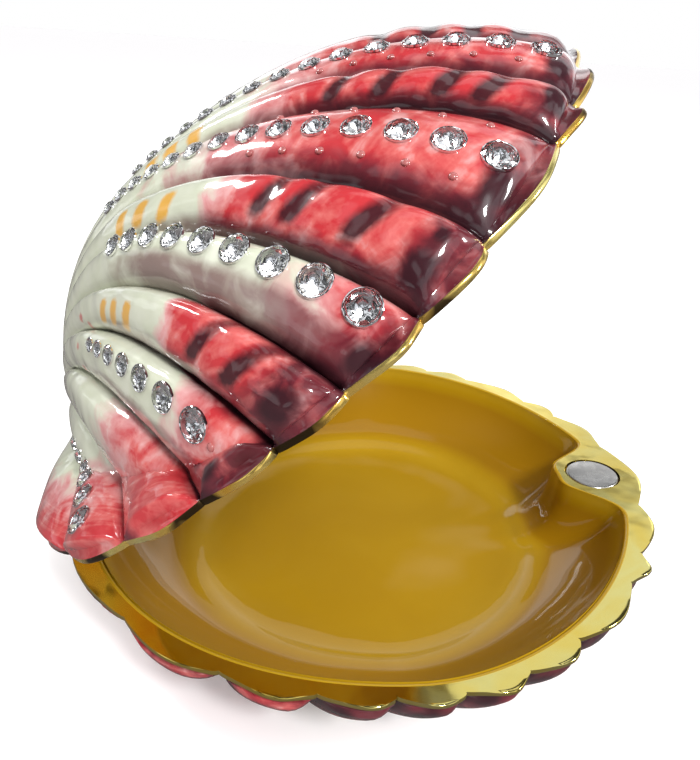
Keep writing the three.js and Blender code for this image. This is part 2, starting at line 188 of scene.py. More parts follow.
# %% Lid and base, outside
FLANGE_WIDTH = 0.7 * MM
FLANGE_THICKNESS = 0.7 * MM
LID_HEIGHT = 15.4 * MM
LID_FOOT_BACK = 28 * MM
LID_FOOT_FULLNESS = 1.5
LID_FLAT_TOP = 2.2
LID_WALL = 0.8
CROWN_Y = 6.4 * MM
APRON_HEIGHT = 3 * MM
BEAK_RISE = 0.4 * MM
BEAK_SPREAD = 2.5 * MM
BASE_DEPTH = 11 * MM
BASE_FULL_DEPTH = 12.2 * MM  # before the foot is cut off flat
BASE_FLAT_TOP = 2.6
BASE_WALL = 0.75
BASE_CENTRE_Y = 3 * MM


def falling(share, flat_top, wall):
    """1 in the middle and 0 on the outline."""
    return (1 - share**flat_top) ** wall


lid_foot = Oval(HALF_WIDTH - FLANGE_WIDTH, FRONT_REACH - FLANGE_WIDTH, LID_FOOT_BACK, LID_FOOT_FULLNESS)
base_foot = Oval(HALF_WIDTH - FLANGE_WIDTH, FRONT_REACH - FLANGE_WIDTH, BACK_REACH - FLANGE_WIDTH)


def lid_height(x, y):
    dome = (LID_HEIGHT - FLANGE_THICKNESS) * falling(lid_foot.share(x, y, CROWN_Y), LID_FLAT_TOP, LID_WALL)
    apron = APRON_HEIGHT * falling(rim.share(x, y, BEAK_Y), 1, LID_WALL)
    beak = BEAK_RISE * np.exp(-((np.hypot(x, y - BEAK_Y) / BEAK_SPREAD) ** 2))
    return FLANGE_THICKNESS + np.cbrt(dome**3 + apron**3) + beak


def base_height(x, y):
    fall = falling(base_foot.share(x, y, BASE_CENTRE_Y), BASE_FLAT_TOP, BASE_WALL)
    return FLANGE_THICKNESS + (BASE_FULL_DEPTH - FLANGE_THICKNESS) * fall


print("lid:", round(LID_HEIGHT / MM, 1), "mm high, base:", round(BASE_DEPTH / MM, 1), "mm deep")

# %% [markdown]
# ### A place on a ribbed shell
# First comes the place on the smooth cushion, on a line that bends as the ribs do. The ribs then rise along
# the cushion's own normal and not straight up, so they keep their depth on the steep sides. The normal is
# measured from two short steps, one along the rib and one beside it. At the foot each rib rounds off.

# %% Places on the cushion
RIB_SWEEP = 0.32  # how far the ribs bend on their way
SHARE_STEP = 0.01
ANGLE_STEP = 0.5


def smooth_point(height, angle, share):
    length = rim.reach(BEAK_Y, *heading(angle)) - FLANGE_WIDTH
    sweep = RIB_SWEEP * (1 - share) * (0.5 + 0.5 * np.cos(np.radians(angle)))
    dx, dy = heading(angle * (1 - sweep))
    along = np.minimum(share * length, rim.reach(BEAK_Y, dx, dy) - FLANGE_WIDTH)
    x = along * dx
    y = BEAK_Y + along * dy
    return np.stack([x, y, height(x, y)], axis=-1)


def smooth_normal(height, angle, share):
    inner = np.clip(share, SHARE_STEP, 1 - 1.5 * SHARE_STEP)
    along = smooth_point(height, angle, inner + SHARE_STEP)
    along = along - smooth_point(height, angle, inner - SHARE_STEP)
    beside = smooth_point(height, angle + ANGLE_STEP, inner)
    beside = beside - smooth_point(height, angle - ANGLE_STEP, inner)
    normal = np.cross(along, beside)
    normal /= np.linalg.norm(normal, axis=-1, keepdims=True)
    return np.where(normal[..., 2:] < 0, -normal, normal)


# %% Places on the ribs
CREST_LEVEL = 0.45  # this much of a rib lies above the cushion's skin, and the rest cuts into it
RIB_START = 0.05
RIB_FULL = 0.75
TIP_START = 0.984  # from here each rib rounds off like a fingertip


def shell_point(height, turn, share, swell=0.0, rounded=True):
    """On the ribbed surface; swell raises it further, in metres."""
    angle = angle_of(turn)
    grown = smoothstep(RIB_START, RIB_FULL, share)
    rise = rib_depths[rib_of(turn)] * grown * (section(turn) - CREST_LEVEL)
    tip = np.sqrt(1 - np.clip((share - TIP_START) / (1 - TIP_START), 0, 1) ** 2)
    rise = np.where((rise > 0) & rounded, rise * tip, rise)
    raised = (rise + swell)[..., None] * smooth_normal(height, angle, share)
    return smooth_point(height, angle, share) + raised


# %% [markdown]
# ### The scalloped edge
# The edge of each shell follows the ends of its ribs in small scallops, and cast and hand-finished ones are
# never quite alike. The outline is moved out at each rib and in at each groove, by a wave that is half a
# cosine and half the rib's own section, and a slow sine makes them uneven.

# %% The edge of the flange
LID_SCALLOP = 0.7  # shares of the rib's depth
BASE_SCALLOP = 0.75
SCALLOP_LEVEL = 0.6
SCALLOP_SOFTNESS = 0.6
SCALLOP_UNREST = 0.25
SCALLOP_UNREST_PACE = 4.1


def rim_point(turn, scallop_share):
    """On the outer edge of the flange."""
    dx, dy = heading(angle_of(turn))
    wave = 0.5 + 0.5 * np.cos(math.pi * across(turn))
    wave = SCALLOP_SOFTNESS * wave + (1 - SCALLOP_SOFTNESS) * section(turn)
    uneven = 1 + SCALLOP_UNREST * np.sin(SCALLOP_UNREST_PACE * turn)
    scallop = scallop_share * rib_depths[rib_of(turn)] * (wave - SCALLOP_LEVEL) * uneven
    length = rim.reach(BEAK_Y, dx, dy) + scallop
    return np.stack([length * dx, BEAK_Y + length * dy, 0 * length], axis=-1)


edge_turns = np.linspace(0, LAST_TURN, 200)
edge_width = 2 * np.abs(rim_point(edge_turns, BASE_SCALLOP)[:, 0]).max()
print("over the scallops:", round(edge_width / MM, 1), "mm wide")

# %% [markdown]
# ## The hinge's place and the open lid
# The lid could be modelled as it stands open, but both halves are easiest to make in the closed box, where
# their rims are level. The base's rim lies at the height of its depth, the lid a hair above it. One matrix
# then turns the lid about the hinge, as it stands open.

# %% Closed and open
CLOSED_GAP = 0.3 * MM
HINGE_Y = 33.2 * MM
HINGE_DROP = 0.4 * MM
HINGE_Z = BASE_DEPTH - HINGE_DROP
KNUCKLE_RADIUS = 1.5 * MM
KNUCKLE_CLEARANCE = 0.35 * MM
KNUCKLE_GAP = 0.2 * MM
HINGE_HALF_LENGTH = 6 * MM
LID_KNUCKLE_HALF_LENGTH = 2 * MM
LID_OPEN = math.radians(41)
hinge = Matrix.Translation((0, HINGE_Y, HINGE_Z))
open_lid = hinge @ Matrix.Rotation(-LID_OPEN, 4, "X") @ hinge.inverted()
rim_up = Matrix.Translation((0, 0, BASE_DEPTH + CLOSED_GAP))
rim_down = Matrix.Translation((0, 0, BASE_DEPTH)) @ Matrix.Diagonal((1, 1, -1, 1))
place_lid = open_lid @ rim_up
print("hinge at", [round(value / MM, 1) for value in hinge.translation], "mm")

# %% [markdown]
# ## Where the paint lies
# The enamel is painted rib by rib: cream at the beak, blushing through pink to crimson, and a dark wine at
# the rim, made darker still as painted shade where the rib ends roll over. Painted shade also darkens the
# grooves and the lower slope of each rib. The plain ribs carry slanting plum bands, and three ochre dashes
# near the beak. A painted image wrapped round the shell would stretch, and noise alone wouldn't follow the
# ribs. So the pattern is kept on the mesh as named values at each point, worked out from turn and share, and
# the enamel material reads them. The ribs are named here by their count from the centre.

# %% Blush, wine and slopes
BLUSH_START = np.array([0.62, 0.60, 0.66, 0.58, 0.73, 0.90, 0.80, 0.86, 0.68, 0.62, 0.6, 0.5])
BLUSH_LENGTH = np.array([0.10, 0.20, 0.08, 0.22, 0.05, 0.10, 0.03, 0.08, 0.18, 0.25, 0.3, 0.4])
# The share where the wine starts on each rib; it is dark rim paint, and partly painted shade on the rolled
# rib ends.
WINE_START = np.array([0.965, 0.975, 0.97, 0.975, 0.965, 0.983, 0.95, 0.97, 1.2, 1.2, 1.2, 1.2])
# Where across each rib the painted shade on its lower slope begins.
SLOPE_START = np.array([0.4, 0.35, 0.4, 0.3, 0.35, -0.2, 0.3, 0.05, 0.3, 0.5, 0.5, 0.5])  # across the rib
# Beyond this rib the painted shade in the grooves is weaker.
LAST_PAINTED_RIB = 7  # from here to the heel the grooves are paler


def groove_shade_mask(turn, share):
    """Painted shade in the grooves, most of all on the far side of each rib."""
    v = across(turn)
    far = smoothstep(0.5, 0.95, v) * smoothstep(0.55, 0.85, share)
    near = smoothstep(0.85, 1, -v) * smoothstep(0.65, 0.9, share)
    return np.maximum(far, near) * (1 - 0.6 * (rib_of(turn) > LAST_PAINTED_RIB))


def wine_mask(turn, share):
    return smoothstep(-0.012, 0.022, share - WINE_START[rib_of(turn)] + 0.006 * across(turn))


# Painted shade on the lower slope of each rib, out towards the rim.
def slope_shade_mask(turn, share):
    rib = rib_of(turn)
    shaded = smoothstep(0, 0.5, across(turn) - SLOPE_START[rib])
    return shaded * smoothstep(0.5, 0.75, share) * (rib < HEEL - 2)


# %% Bands and dashes
BANDS = {  # by rib, the share at which each band crosses it
    0: [0.80, 0.86, 0.91, 0.96],
    2: [0.79, 0.846, 0.905, 0.945],
    4: [0.82, 0.86, 0.928],
    6: [0.876, 0.932],
}
BAND_HALF_LENGTH = 0.0095
BAND_SLANT = -0.013
BAND_MIDDLES = {0: 0.0, 2: 0.0, 4: -0.25, 6: -0.25}  # across the rib
DASHES = {2: [0.50, 0.54, 0.585], 4: [0.557, 0.607, 0.664], 6: [0.624, 0.668, 0.716]}
DASH_HALF_LENGTH = 0.012
DASH_MIDDLE = 0.2


def stripe(share, turn, centre, half_length, slant):
    """1 on a slanting stripe across a rib, 0 off it."""
    offset = np.abs(share - centre - slant * across(turn))
    return 1 - smoothstep(0.3 * half_length, 1.9 * half_length, offset)


def stripes_mask(turn, share, stripes, half_length, slant, inside):
    """All stripes of one kind; inside is a function that says how each fades across its rib."""
    painted = np.zeros_like(share)
    for rib, centres in stripes.items():
        for centre in centres:
            mark = stripe(share, turn, centre, half_length, slant) * inside(rib, across(turn))
            painted = np.maximum(painted, np.where(rib_of(turn) == rib, mark, 0))
    return painted


def inside_band(rib, v):
    offset = v - BAND_MIDDLES[rib]
    return (1 - smoothstep(0.55, 0.95, np.abs(offset))) * (0.75 + 0.35 * smoothstep(-0.4, 0.3, offset))


def inside_dash(rib, v):
    return 1 - smoothstep(0.3, 0.7, np.abs(v - DASH_MIDDLE))


# %% Dabs of the brush
SPOTS = {  # by rib: the place across it, the share, and half the size both ways
    0: [(0.0, 0.995, 0.8, 0.010)],
    1: [(0.40, 0.985, 0.40, 0.012)],
    2: [(0.10, 0.992, 0.50, 0.012)],
    3: [(0.42, 0.990, 0.34, 0.013)],
    4: [(-0.35, 0.983, 0.20, 0.006), (0.40, 0.985, 0.45, 0.014)],
    5: [(0.35, 0.995, 0.45, 0.010)],
    6: [(0.05, 0.982, 0.60, 0.016)],
    7: [(0.30, 0.985, 0.40, 0.014)],
}
SPECKS = {  # small coral touches near the beak
    6: [(0.4, 0.50, 0.3, 0.012), (0.8, 0.535, 0.25, 0.009)],
    7: [(-0.2, 0.55, 0.2, 0.012), (0.7, 0.57, 0.2, 0.02)],
}


def dabs(turn, share, marks):
    """1 in the middle of each dab, falling to 0 round it."""
    painted = np.zeros_like(share)
    for rib, places in marks.items():
        for v, centre, wide, long in places:
            away = np.hypot((across(turn) - v) / wide, (share - centre) / long)
            painted = np.maximum(painted, np.where(rib_of(turn) == rib, 1 - smoothstep(0.35, 1.35, away), 0))
    return painted


def paint_masks(turn, share):
    """Every named value that the enamel reads, at each point."""
    rib = rib_of(turn)
    bands = stripes_mask(turn, share, BANDS, BAND_HALF_LENGTH, BAND_SLANT, inside_band)
    return {
        "blush": (share - BLUSH_START[rib]) / BLUSH_LENGTH[rib],
        "plum": np.maximum(bands, dabs(turn, share, SPOTS)),
        "wine": wine_mask(turn, share),
        "dashes": stripes_mask(turn, share, DASHES, DASH_HALF_LENGTH, BAND_SLANT / 3, inside_dash),
        "specks": dabs(turn, share, SPECKS),
        "groove": groove_shade_mask(turn, share),
        "slope": slope_shade_mask(turn, share),
    }


band_count = sum(len(centres) for centres in BANDS.values())
print("painted on each side:", band_count, "bands,", sum(map(len, DASHES.values())), "dashes")

# %% [markdown]
# ## Tools for materials
# Node trees could be set up by hand in the editor, but written out they can be read and repeated. A few
# short helpers keep them readable: one feeds a socket with a link or a constant, one adds a node with its
# settings, and one does arithmetic on sockets.

# %% Node helpers


def feed(tree, socket, value):
    """Links another socket's value into this one, or sets it to a constant."""
    if isinstance(value, bpy.types.NodeSocket):
        tree.links.new(value, socket)
    else:
        socket.default_value = value


def add_node(tree, kind, **settings):
    node = tree.nodes.new(kind)
    for name, value in settings.items():
        socket = node.inputs.get(name)
        if socket is None:
            setattr(node, name, value)
        else:
            feed(tree, socket, value)
    return node


def reckon(tree, operation, *values, clamp=False):
    node = tree.nodes.new("ShaderNodeMath")
    node.operation = operation
    node.use_clamp = clamp
    for socket, value in zip(node.inputs, values):
        feed(tree, socket, value)
    return node.outputs[0]


def add_share(tree, value, other, share):
    """The value plus a share of another one."""
    return reckon(tree, "ADD", value, reckon(tree, "MULTIPLY", other, share))


def blend_colors(tree, share, first, second):
    node = tree.nodes.new("ShaderNodeMix")
    node.data_type = "RGBA"
    for name, value in (("Factor", share), ("A", first), ("B", second)):
        socket = next(s for s in node.inputs if s.name == name and s.type in ("VALUE", "RGBA") and s.enabled)
        feed(tree, socket, value)
    return next(s for s in node.outputs if s.enabled)


def ramp(tree, value, stops):
    node = add_node(tree, "ShaderNodeValToRGB", Fac=value)
    elements = node.color_ramp.elements
    while len(elements) < len(stops):
        elements.new(0.5)
    for element, (place, color) in zip(elements, stops):
        element.position = place
        element.color = color
    return node.outputs["Color"]


def mask(tree, name):
    """A value that the mesh carries under this name."""
    return add_node(tree, "ShaderNodeAttribute", attribute_name=name).outputs["Fac"]


# %% Group and material helpers


def new_group(name, inputs, outputs):
    tree = bpy.data.node_groups.new(name, "ShaderNodeTree")
    for label, kind, value in inputs:
        socket = tree.interface.new_socket(label, in_out="INPUT", socket_type=kind)
        if value is not None:
            socket.default_value = value
    for label, kind in outputs:
        tree.interface.new_socket(label, in_out="OUTPUT", socket_type=kind)
    return tree, tree.nodes.new("NodeGroupInput").outputs, tree.nodes.new("NodeGroupOutput").inputs


def place_group(tree, group, **settings):
    node = tree.nodes.new("ShaderNodeGroup")
    node.node_tree = group
    for name, value in settings.items():
        feed(tree, node.inputs[name], value)
    return node.outputs


def new_material(name):
    made = bpy.data.materials.new(name)
    made.use_nodes = True
    tree = made.node_tree
    return made, tree, tree.nodes["Principled BSDF"], add_node(tree, "ShaderNodeTexCoord").outputs["Object"]


def dress(tree, surface, **settings):
    """Feeds the shader's sockets; an underscore stands for the space in a socket's name."""
    for name, value in settings.items():
        feed(tree, surface.inputs[name.replace("_", " ")], value)


# %% [markdown]
# ## Effects that several finishes share
# Enamel is glass powder melted in a kiln. Its colour lies in clouds where the powder was thick or thin, and
# its surface is never quite flat, which is what bends the highlights. Gilding wears off and tarnishes in
# patches. Each effect could be built again in every material, but as a node group with its own scale and
# strength it is made once.

# %% Clouds of colour
clouds, source, result = new_group(
    "clouds",
    [
        ("Vector", "NodeSocketVector", None),
        ("Scale", "NodeSocketFloat", 500.0),
        ("Spread", "NodeSocketFloat", 1.0),
    ],
    [("Value", "NodeSocketFloat")],
)
billows = add_node(
    clouds, "ShaderNodeTexNoise", Vector=source["Vector"], Scale=source["Scale"], Detail=4.0, Distortion=0.8
)
centred = reckon(clouds, "SUBTRACT", billows.outputs["Fac"], 0.5)
clouds.links.new(reckon(clouds, "MULTIPLY", centred, source["Spread"]), result["Value"])

# %% [markdown]
# The glaze could be made uneven in the mesh, but its swells are only a few hundredths of a millimetre deep,
# so a bump is enough: nothing of it shows in the outline, and all of it in the highlights.

# %% The uneven glaze
glaze, source, result = new_group(
    "uneven_glaze",
    [
        ("Vector", "NodeSocketVector", None),
        ("Scale", "NodeSocketFloat", 250.0),
        ("Depth", "NodeSocketFloat", 0.0001),
    ],
    [("Normal", "NodeSocketVector")],
)
swells = add_node(glaze, "ShaderNodeTexNoise", Vector=source["Vector"], Scale=source["Scale"], Detail=1.5)
height = swells.outputs["Fac"]
bump = add_node(glaze, "ShaderNodeBump", Height=height, Distance=source["Depth"], Strength=1.0)
glaze.links.new(bump.outputs["Normal"], result["Normal"])

# %% [markdown]
# Tarnish spreads in blots with firm edges. Noise that is cut off at a level gives just that, and the amount
# moves the level.

# %% Patches of tarnish
TARNISH_FIRMNESS = 12.0
tarnish, source, result = new_group(
    "tarnish",
    [
        ("Vector", "NodeSocketVector", None),
        ("Scale", "NodeSocketFloat", 250.0),
        ("Amount", "NodeSocketFloat", 0.4),
    ],
    [("Mask", "NodeSocketFloat")],
)
spots = add_node(tarnish, "ShaderNodeTexNoise", Vector=source["Vector"], Scale=source["Scale"], Detail=3.0)
over = reckon(tarnish, "SUBTRACT", spots.outputs["Fac"], reckon(tarnish, "SUBTRACT", 1.0, source["Amount"]))
tarnish.links.new(reckon(tarnish, "MULTIPLY", over, TARNISH_FIRMNESS, clamp=True), result["Mask"])
print("shared effects:", len(bpy.data.node_groups))

# %% [markdown]
# ## The shell's enamel
# On the real box the colours are laid on one after the other and fired. One ramp from cream to plum could
# stand for that, but then no colour could lie over another. So the material is built in layers, as the box
# is, with painted shade among them. The ground is cream, which a blush turns pink. Then come the reds with
# their pale streaks, the mauve painted shade on the lower slopes, the wine at the rim, which is partly
# painted shade, the painted plum shade in the grooves, the plum bands, the ochre dashes and the coral
# specks. Each painted edge wanders with a cloud, as brush and kiln leave it. A clear coat gives the gloss.

# %% Enamel for the outside
CREAM = (0.60, 0.61, 0.50, 1)
CREAM_GREEN = (0.50, 0.53, 0.38, 1)
BLUSH_PINK = (0.62, 0.33, 0.32, 1)
CORAL = (0.56, 0.12, 0.11, 1)
CRIMSON = (0.46, 0.030, 0.036, 1)
# Wine is the rim's dark paint, made darker still as painted shade where the rib ends roll over.
WINE = (0.09, 0.013, 0.023, 1)
WINE_DARK = (0.035, 0.007, 0.011, 1)
PLUM = (0.030, 0.007, 0.011, 1)
# Mauve and deep red are painted shade on the lower slopes of the ribs.
MAUVE = (0.19, 0.11, 0.105, 1)
DEEP_RED = (0.13, 0.014, 0.024, 1)
OCHRE_DASH = (0.66, 0.36, 0.07, 1)


def at_edge(tree, drawn, cloud, unrest, start, steepness):
    """A painted mask whose edge wanders with a cloud, and that stays off where nothing is painted."""
    value = add_share(tree, drawn, cloud, unrest)
    value = reckon(tree, "MULTIPLY", reckon(tree, "SUBTRACT", value, start), steepness, clamp=True)
    return reckon(tree, "MULTIPLY", value, reckon(tree, "MULTIPLY", drawn, 4.0, clamp=True))


def streaked_red(tree, mottle, fine):
    """Crimson with pale streaks that run across the ribs, as the brush went."""
    place = add_node(tree, "ShaderNodeAttribute", attribute_name="place").outputs["Vector"]
    stretched = add_node(tree, "ShaderNodeMapping", Vector=place)
    stretched.inputs["Scale"].default_value = (0.8, 15.0, 1.0)
    streaks = place_group(tree, clouds, Vector=stretched.outputs["Vector"], Scale=2.4, Spread=1.6)["Value"]
    reds = add_share(tree, reckon(tree, "MULTIPLY", streaks, 1.2), mottle, 0.9)
    reds = reckon(tree, "ADD", add_share(tree, reds, fine, 0.5), 0.6, clamp=True)
    return ramp(tree, reds, [(0.0, BLUSH_PINK), (0.4, CORAL), (0.8, CRIMSON)])


def shell_enamel(name, blush_shift, all_wine):
    """The shifts make a half redder and darker as a whole."""
    made, tree, surface, where = new_material(name)
    mottle = place_group(tree, clouds, Vector=where, Scale=420.0, Spread=1.7)["Value"]
    fine = place_group(tree, clouds, Vector=where, Scale=1300.0, Spread=1.0)["Value"]
    blush = add_share(tree, reckon(tree, "ADD", mask(tree, "blush"), blush_shift), mottle, 0.9)
    pinked = reckon(tree, "MULTIPLY", blush, 1.0, clamp=True)
    ground = blend_colors(tree, reckon(tree, "ADD", 0.35, mottle, clamp=True), CREAM, CREAM_GREEN)
    color = blend_colors(tree, reckon(tree, "MULTIPLY", blush, 2.2, clamp=True), ground, BLUSH_PINK)
    shade = blend_colors(tree, pinked, MAUVE, DEEP_RED)
    darker = reckon(tree, "ADD", 0.4, reckon(tree, "MULTIPLY", mottle, 2.0), clamp=True)
    wines = blend_colors(tree, darker, WINE, WINE_DARK)
    # Painted plum shade in the grooves, stronger where the enamel is pink.
    groove_shade = reckon(tree, "MULTIPLY", mask(tree, "groove"), add_share(tree, 0.4, pinked, 0.6))
    layers = [  # what is painted, the cloud at its edge, its unrest, start and steepness, strength, colour
        (blush, fine, 0.4, 0.35, 1.6, 1.0, streaked_red(tree, mottle, fine)),
        (mask(tree, "slope"), mottle, 0.8, 0.1, 1.1, 0.88, shade),
        (reckon(tree, "ADD", mask(tree, "wine"), all_wine), mottle, 1.0, 0.15, 1.2, 0.9, wines),
        (groove_shade, mottle, 0.35, 0.05, 1.05, 1.0, PLUM),
        (mask(tree, "plum"), mottle, 0.45, 0.15, 1.35, 0.95, PLUM),
        (mask(tree, "dashes"), fine, 0.6, 0.35, 2.2, 1.0, OCHRE_DASH),
        (mask(tree, "specks"), fine, 0.9, 0.3, 1.6, 1.0, CORAL),
    ]
    for *rule, strength, paint in layers:
        color = blend_colors(tree, reckon(tree, "MULTIPLY", at_edge(tree, *rule), strength), color, paint)
    normal = place_group(tree, glaze, Vector=where, Scale=330.0, Depth=0.00025)["Normal"]
    dress(tree, surface, Base_Color=color, Normal=normal, Coat_Normal=normal)
    dress(tree, surface, Roughness=0.3, Specular_IOR_Level=0.15, Coat_Weight=1.0, Coat_Roughness=0.03)
    return made


lid_enamel = shell_enamel("lid_enamel", 0.0, 0.0)
base_enamel = shell_enamel("base_enamel", 0.35, 0.5)
print("nodes in the lid's enamel:", len(lid_enamel.node_tree.nodes))

# %% [markdown]
# ## The mustard enamel inside
# One colour, poured thick. It could be one flat colour, but a ramp reads the hollow's own value, so the
# walls are darkened with painted shade, and a ring round the floor's edge and the lip are lightened with a
# painted highlight. It is as glossy as the outside.

# %% Enamel for the inside
# The pale tone serves the floor and, on the ring and the lip, a painted highlight; the shaded tone is
# painted shade on the walls.
MUSTARD_PALE = (0.42, 0.255, 0.010, 1)
MUSTARD = (0.36, 0.205, 0.003, 1)
MUSTARD_SHADED = (0.29, 0.145, 0.003, 1)


def inside_enamel():
    made, tree, surface, where = new_material("mustard_enamel")
    cloud = place_group(tree, clouds, Vector=where, Scale=70.0, Spread=0.5)["Value"]
    # High for painted shade on the walls, low for a painted highlight on the ring and the lip.
    shade_level = reckon(tree, "ADD", mask(tree, "wall"), reckon(tree, "ADD", cloud, 0.35), clamp=True)
    color = ramp(tree, shade_level, [(0.0, MUSTARD_PALE), (0.35, MUSTARD), (1.0, MUSTARD_SHADED)])
    normal = place_group(tree, glaze, Vector=where, Scale=80.0, Depth=0.0003)["Normal"]
    dress(tree, surface, Base_Color=color, Normal=normal, Coat_Normal=normal)
    dress(tree, surface, Roughness=0.4, Specular_IOR_Level=0.1)
    dress(tree, surface, Coat_IOR=1.33, Coat_Weight=1.0, Coat_Roughness=0.03)
    return made


mustard_enamel = inside_enamel()
print("inside:", mustard_enamel.name)

# %% [markdown]
# The raised drops beside the stones are a paler enamel. They are so small that a cloud between two pinks is
# all the variation they show.

# %% Enamel for the drops
DROP_PINK = (0.42, 0.14, 0.13, 1)
DROP_RED = (0.32, 0.07, 0.07, 1)


def pale_drops():
    made, tree, surface, where = new_material("drop_enamel")
    cloud = place_group(tree, clouds, Vector=where, Scale=600.0, Spread=1.5)["Value"]
    color = blend_colors(tree, reckon(tree, "ADD", cloud, 0.5, clamp=True), DROP_PINK, DROP_RED)
    dress(tree, surface, Base_Color=color, Roughness=0.25, Coat_Weight=1.0, Coat_Roughness=0.03)
    return made


drop_enamel = pale_drops()
print("drops:", drop_enamel.name)

# %% [markdown]
# ## Gilding, magnets, foil and crystal
# The rims and the hinge are plated with gold, and the lid's edge is tarnished brown in places. The magnets
# are nickel-plated. All of them are one material with other colours: metal clouded between two tones, whose
# gloss changes with the cloud and dulls under the tarnish.

# %% Metals
GOLD = (0.82, 0.63, 0.13, 1)
GOLD_PALE = (0.82, 0.74, 0.27, 1)
AMBER_GOLD = (0.85, 0.48, 0.07, 1)
TARNISH = (0.05, 0.03, 0.01, 1)
NICKEL_PALE = (0.52, 0.51, 0.49, 1)
NICKEL_GREY = (0.40, 0.39, 0.38, 1)
SILVER_PALE = (0.96, 0.96, 0.97, 1)
SILVER_GREY = (0.86, 0.86, 0.88, 1)


def metal(name, first, second, cloud_scale, roughness, tarnished=0.0, metallic=1.0):
    made, tree, surface, where = new_material(name)
    cloud = place_group(tree, clouds, Vector=where, Scale=cloud_scale, Spread=3.0)["Value"]
    color = blend_colors(tree, reckon(tree, "ADD", cloud, 0.5, clamp=True), first, second)
    rough = add_share(tree, roughness, cloud, 0.05)
    if tarnished:
        patches = place_group(tree, tarnish, Vector=where, Scale=190.0, Amount=tarnished)["Mask"]
        color = blend_colors(tree, patches, color, TARNISH)
        rough = add_share(tree, rough, patches, 0.25)
    normal = place_group(tree, glaze, Vector=where, Scale=220.0, Depth=0.0001)["Normal"]
    dress(tree, surface, Base_Color=color, Roughness=rough, Normal=normal, Metallic=metallic)
    return made


gilding = metal("gilding", GOLD, GOLD_PALE, 150.0, 0.10)
lid_gilding = metal("lid_gilding", AMBER_GOLD, GOLD_PALE, 150.0, 0.16, tarnished=0.52, metallic=0.85)
nickel = metal("nickel", NICKEL_PALE, NICKEL_GREY, 900.0, 0.28)
foil = metal("silver_foil", SILVER_PALE, SILVER_GREY, 700.0, 0.06)
print("metals:", [made.name for made in (gilding, lid_gilding, nickel, foil)])

# %% [markdown]
# The crystals are clear cut glass, and each sits on silver foil in its own little cup, which sends the light
# back. They could be painted silver, but only real refraction moves the sparkle with the view. The glass is
# denser than a window's, so it bends light more, and a faint smudge keeps the facets from being perfect.

# %% Glass
CRYSTAL_TINT = (0.98, 0.99, 1.0, 1)
CRYSTAL_IOR = 1.58


def cut_glass():
    made, tree, surface, where = new_material("crystal")
    smudge = place_group(tree, clouds, Vector=where, Scale=1500.0, Spread=0.06)["Value"]
    rough = reckon(tree, "ADD", smudge, 0.02, clamp=True)
    dress(tree, surface, Roughness=rough, Base_Color=CRYSTAL_TINT, IOR=CRYSTAL_IOR, Transmission_Weight=1.0)
    return made


crystal = cut_glass()
print("materials:", len(bpy.data.materials))

# %% [markdown]
# ## A shell as one sheet
# Single ribs would have to be joined groove by groove, and would show it. A flat grid is a sheet of turns
# and shares, so every point of the grid is simply moved to its place on the shell. Its first row closes on
# the beak and its two ends meet behind the heel, and merging the doubles seals both. The rows are closer at
# the steep foot, and the columns closer in the grooves.

# %% Sheet helpers
COLUMNS_PER_RIB = 18
ROWS = 130
GROOVE_CROWDING = 0.4
FOOT_CROWDING = 1.6
SIDE_STEP = 7  # sets the streaks of the two sides apart
MERGE = 0.0005 * MM
POINT_VALUES = ("turn", "bearing", "wall", "blush", "plum", "wine", "dashes", "specks", "groove", "slope")


def set_places(verts, places):
    for vert, place in zip(verts, places):
        vert.co = place


def new_sheet():
    """An empty mesh with every named value that a shell's materials or steps read."""
    bm = bmesh.new()
    for name in POINT_VALUES:
        bm.verts.layers.float.new(name)
    bm.verts.layers.float_vector.new("place")
    return bm


def keep_values(bm, verts, values_by_name):
    for name, values in values_by_name.items():
        layer = bm.verts.layers.float[name]
        for vert, value in zip(verts, values):
            vert[layer] = value


def crowded(value):
    """Turns even steps from 0 to 1 into steps that grow shorter towards 1."""
    return 1 - (1 - value) ** FOOT_CROWDING


def ribbed_sheet(bm, height, swell=None):
    """The outside of one half, in place over its rim plane. Returns its open rim edges."""
    columns = int(2 * LAST_TURN * COLUMNS_PER_RIB)
    bmesh.ops.create_grid(bm, x_segments=columns, y_segments=ROWS, size=1)
    verts = list(bm.verts)
    grid = np.array([vert.co for vert in verts])
    even_turn = LAST_TURN * grid[:, 0]
    v = across(even_turn)
    crowding = 1 + GROOVE_CROWDING - GROOVE_CROWDING * v * v
    turn = np.sign(even_turn) * (rib_of(even_turn) + 0.5 * v * crowding)
    share = crowded((grid[:, 1] + 1) / 2)
    raised = swell(turn, share) if swell else 0 * turn
    set_places(verts, shell_point(height, turn, share, raised))
    keep_values(bm, verts, {"turn": turn, **paint_masks(turn, share)})
    place = bm.verts.layers.float_vector["place"]
    side = np.sign(turn) * (np.abs(turn) < HEEL - 0.5)  # 0 on the heel, where the two sides meet
    slanted = share - BAND_SLANT * across(turn)
    for vert, t, s, z in zip(verts, np.abs(turn), slanted, side):
        vert[place] = (t, s, SIDE_STEP * z)
    bmesh.ops.remove_doubles(bm, verts=bm.verts, dist=MERGE)
    return [edge for edge in bm.edges if edge.is_boundary]


def of_kind(items, kind):
    return [item for item in items if isinstance(item, kind)]


def edges_of(bm, verts):
    """The edges that touch these corners, in the mesh's own order, which is the same on every run."""
    touched = {edge for vert in verts for edge in vert.link_edges}
    return [edge for edge in bm.edges if edge in touched]


def extrude_rim(bm, edges):
    """Returns the new open edges, and the new corners and faces."""
    made = bmesh.ops.extrude_edge_only(bm, edges=edges)["geom"]
    new_rim = [edge for edge in of_kind(made, bmesh.types.BMEdge) if edge.is_boundary]
    return new_rim, of_kind(made, bmesh.types.BMVert), of_kind(made, bmesh.types.BMFace)


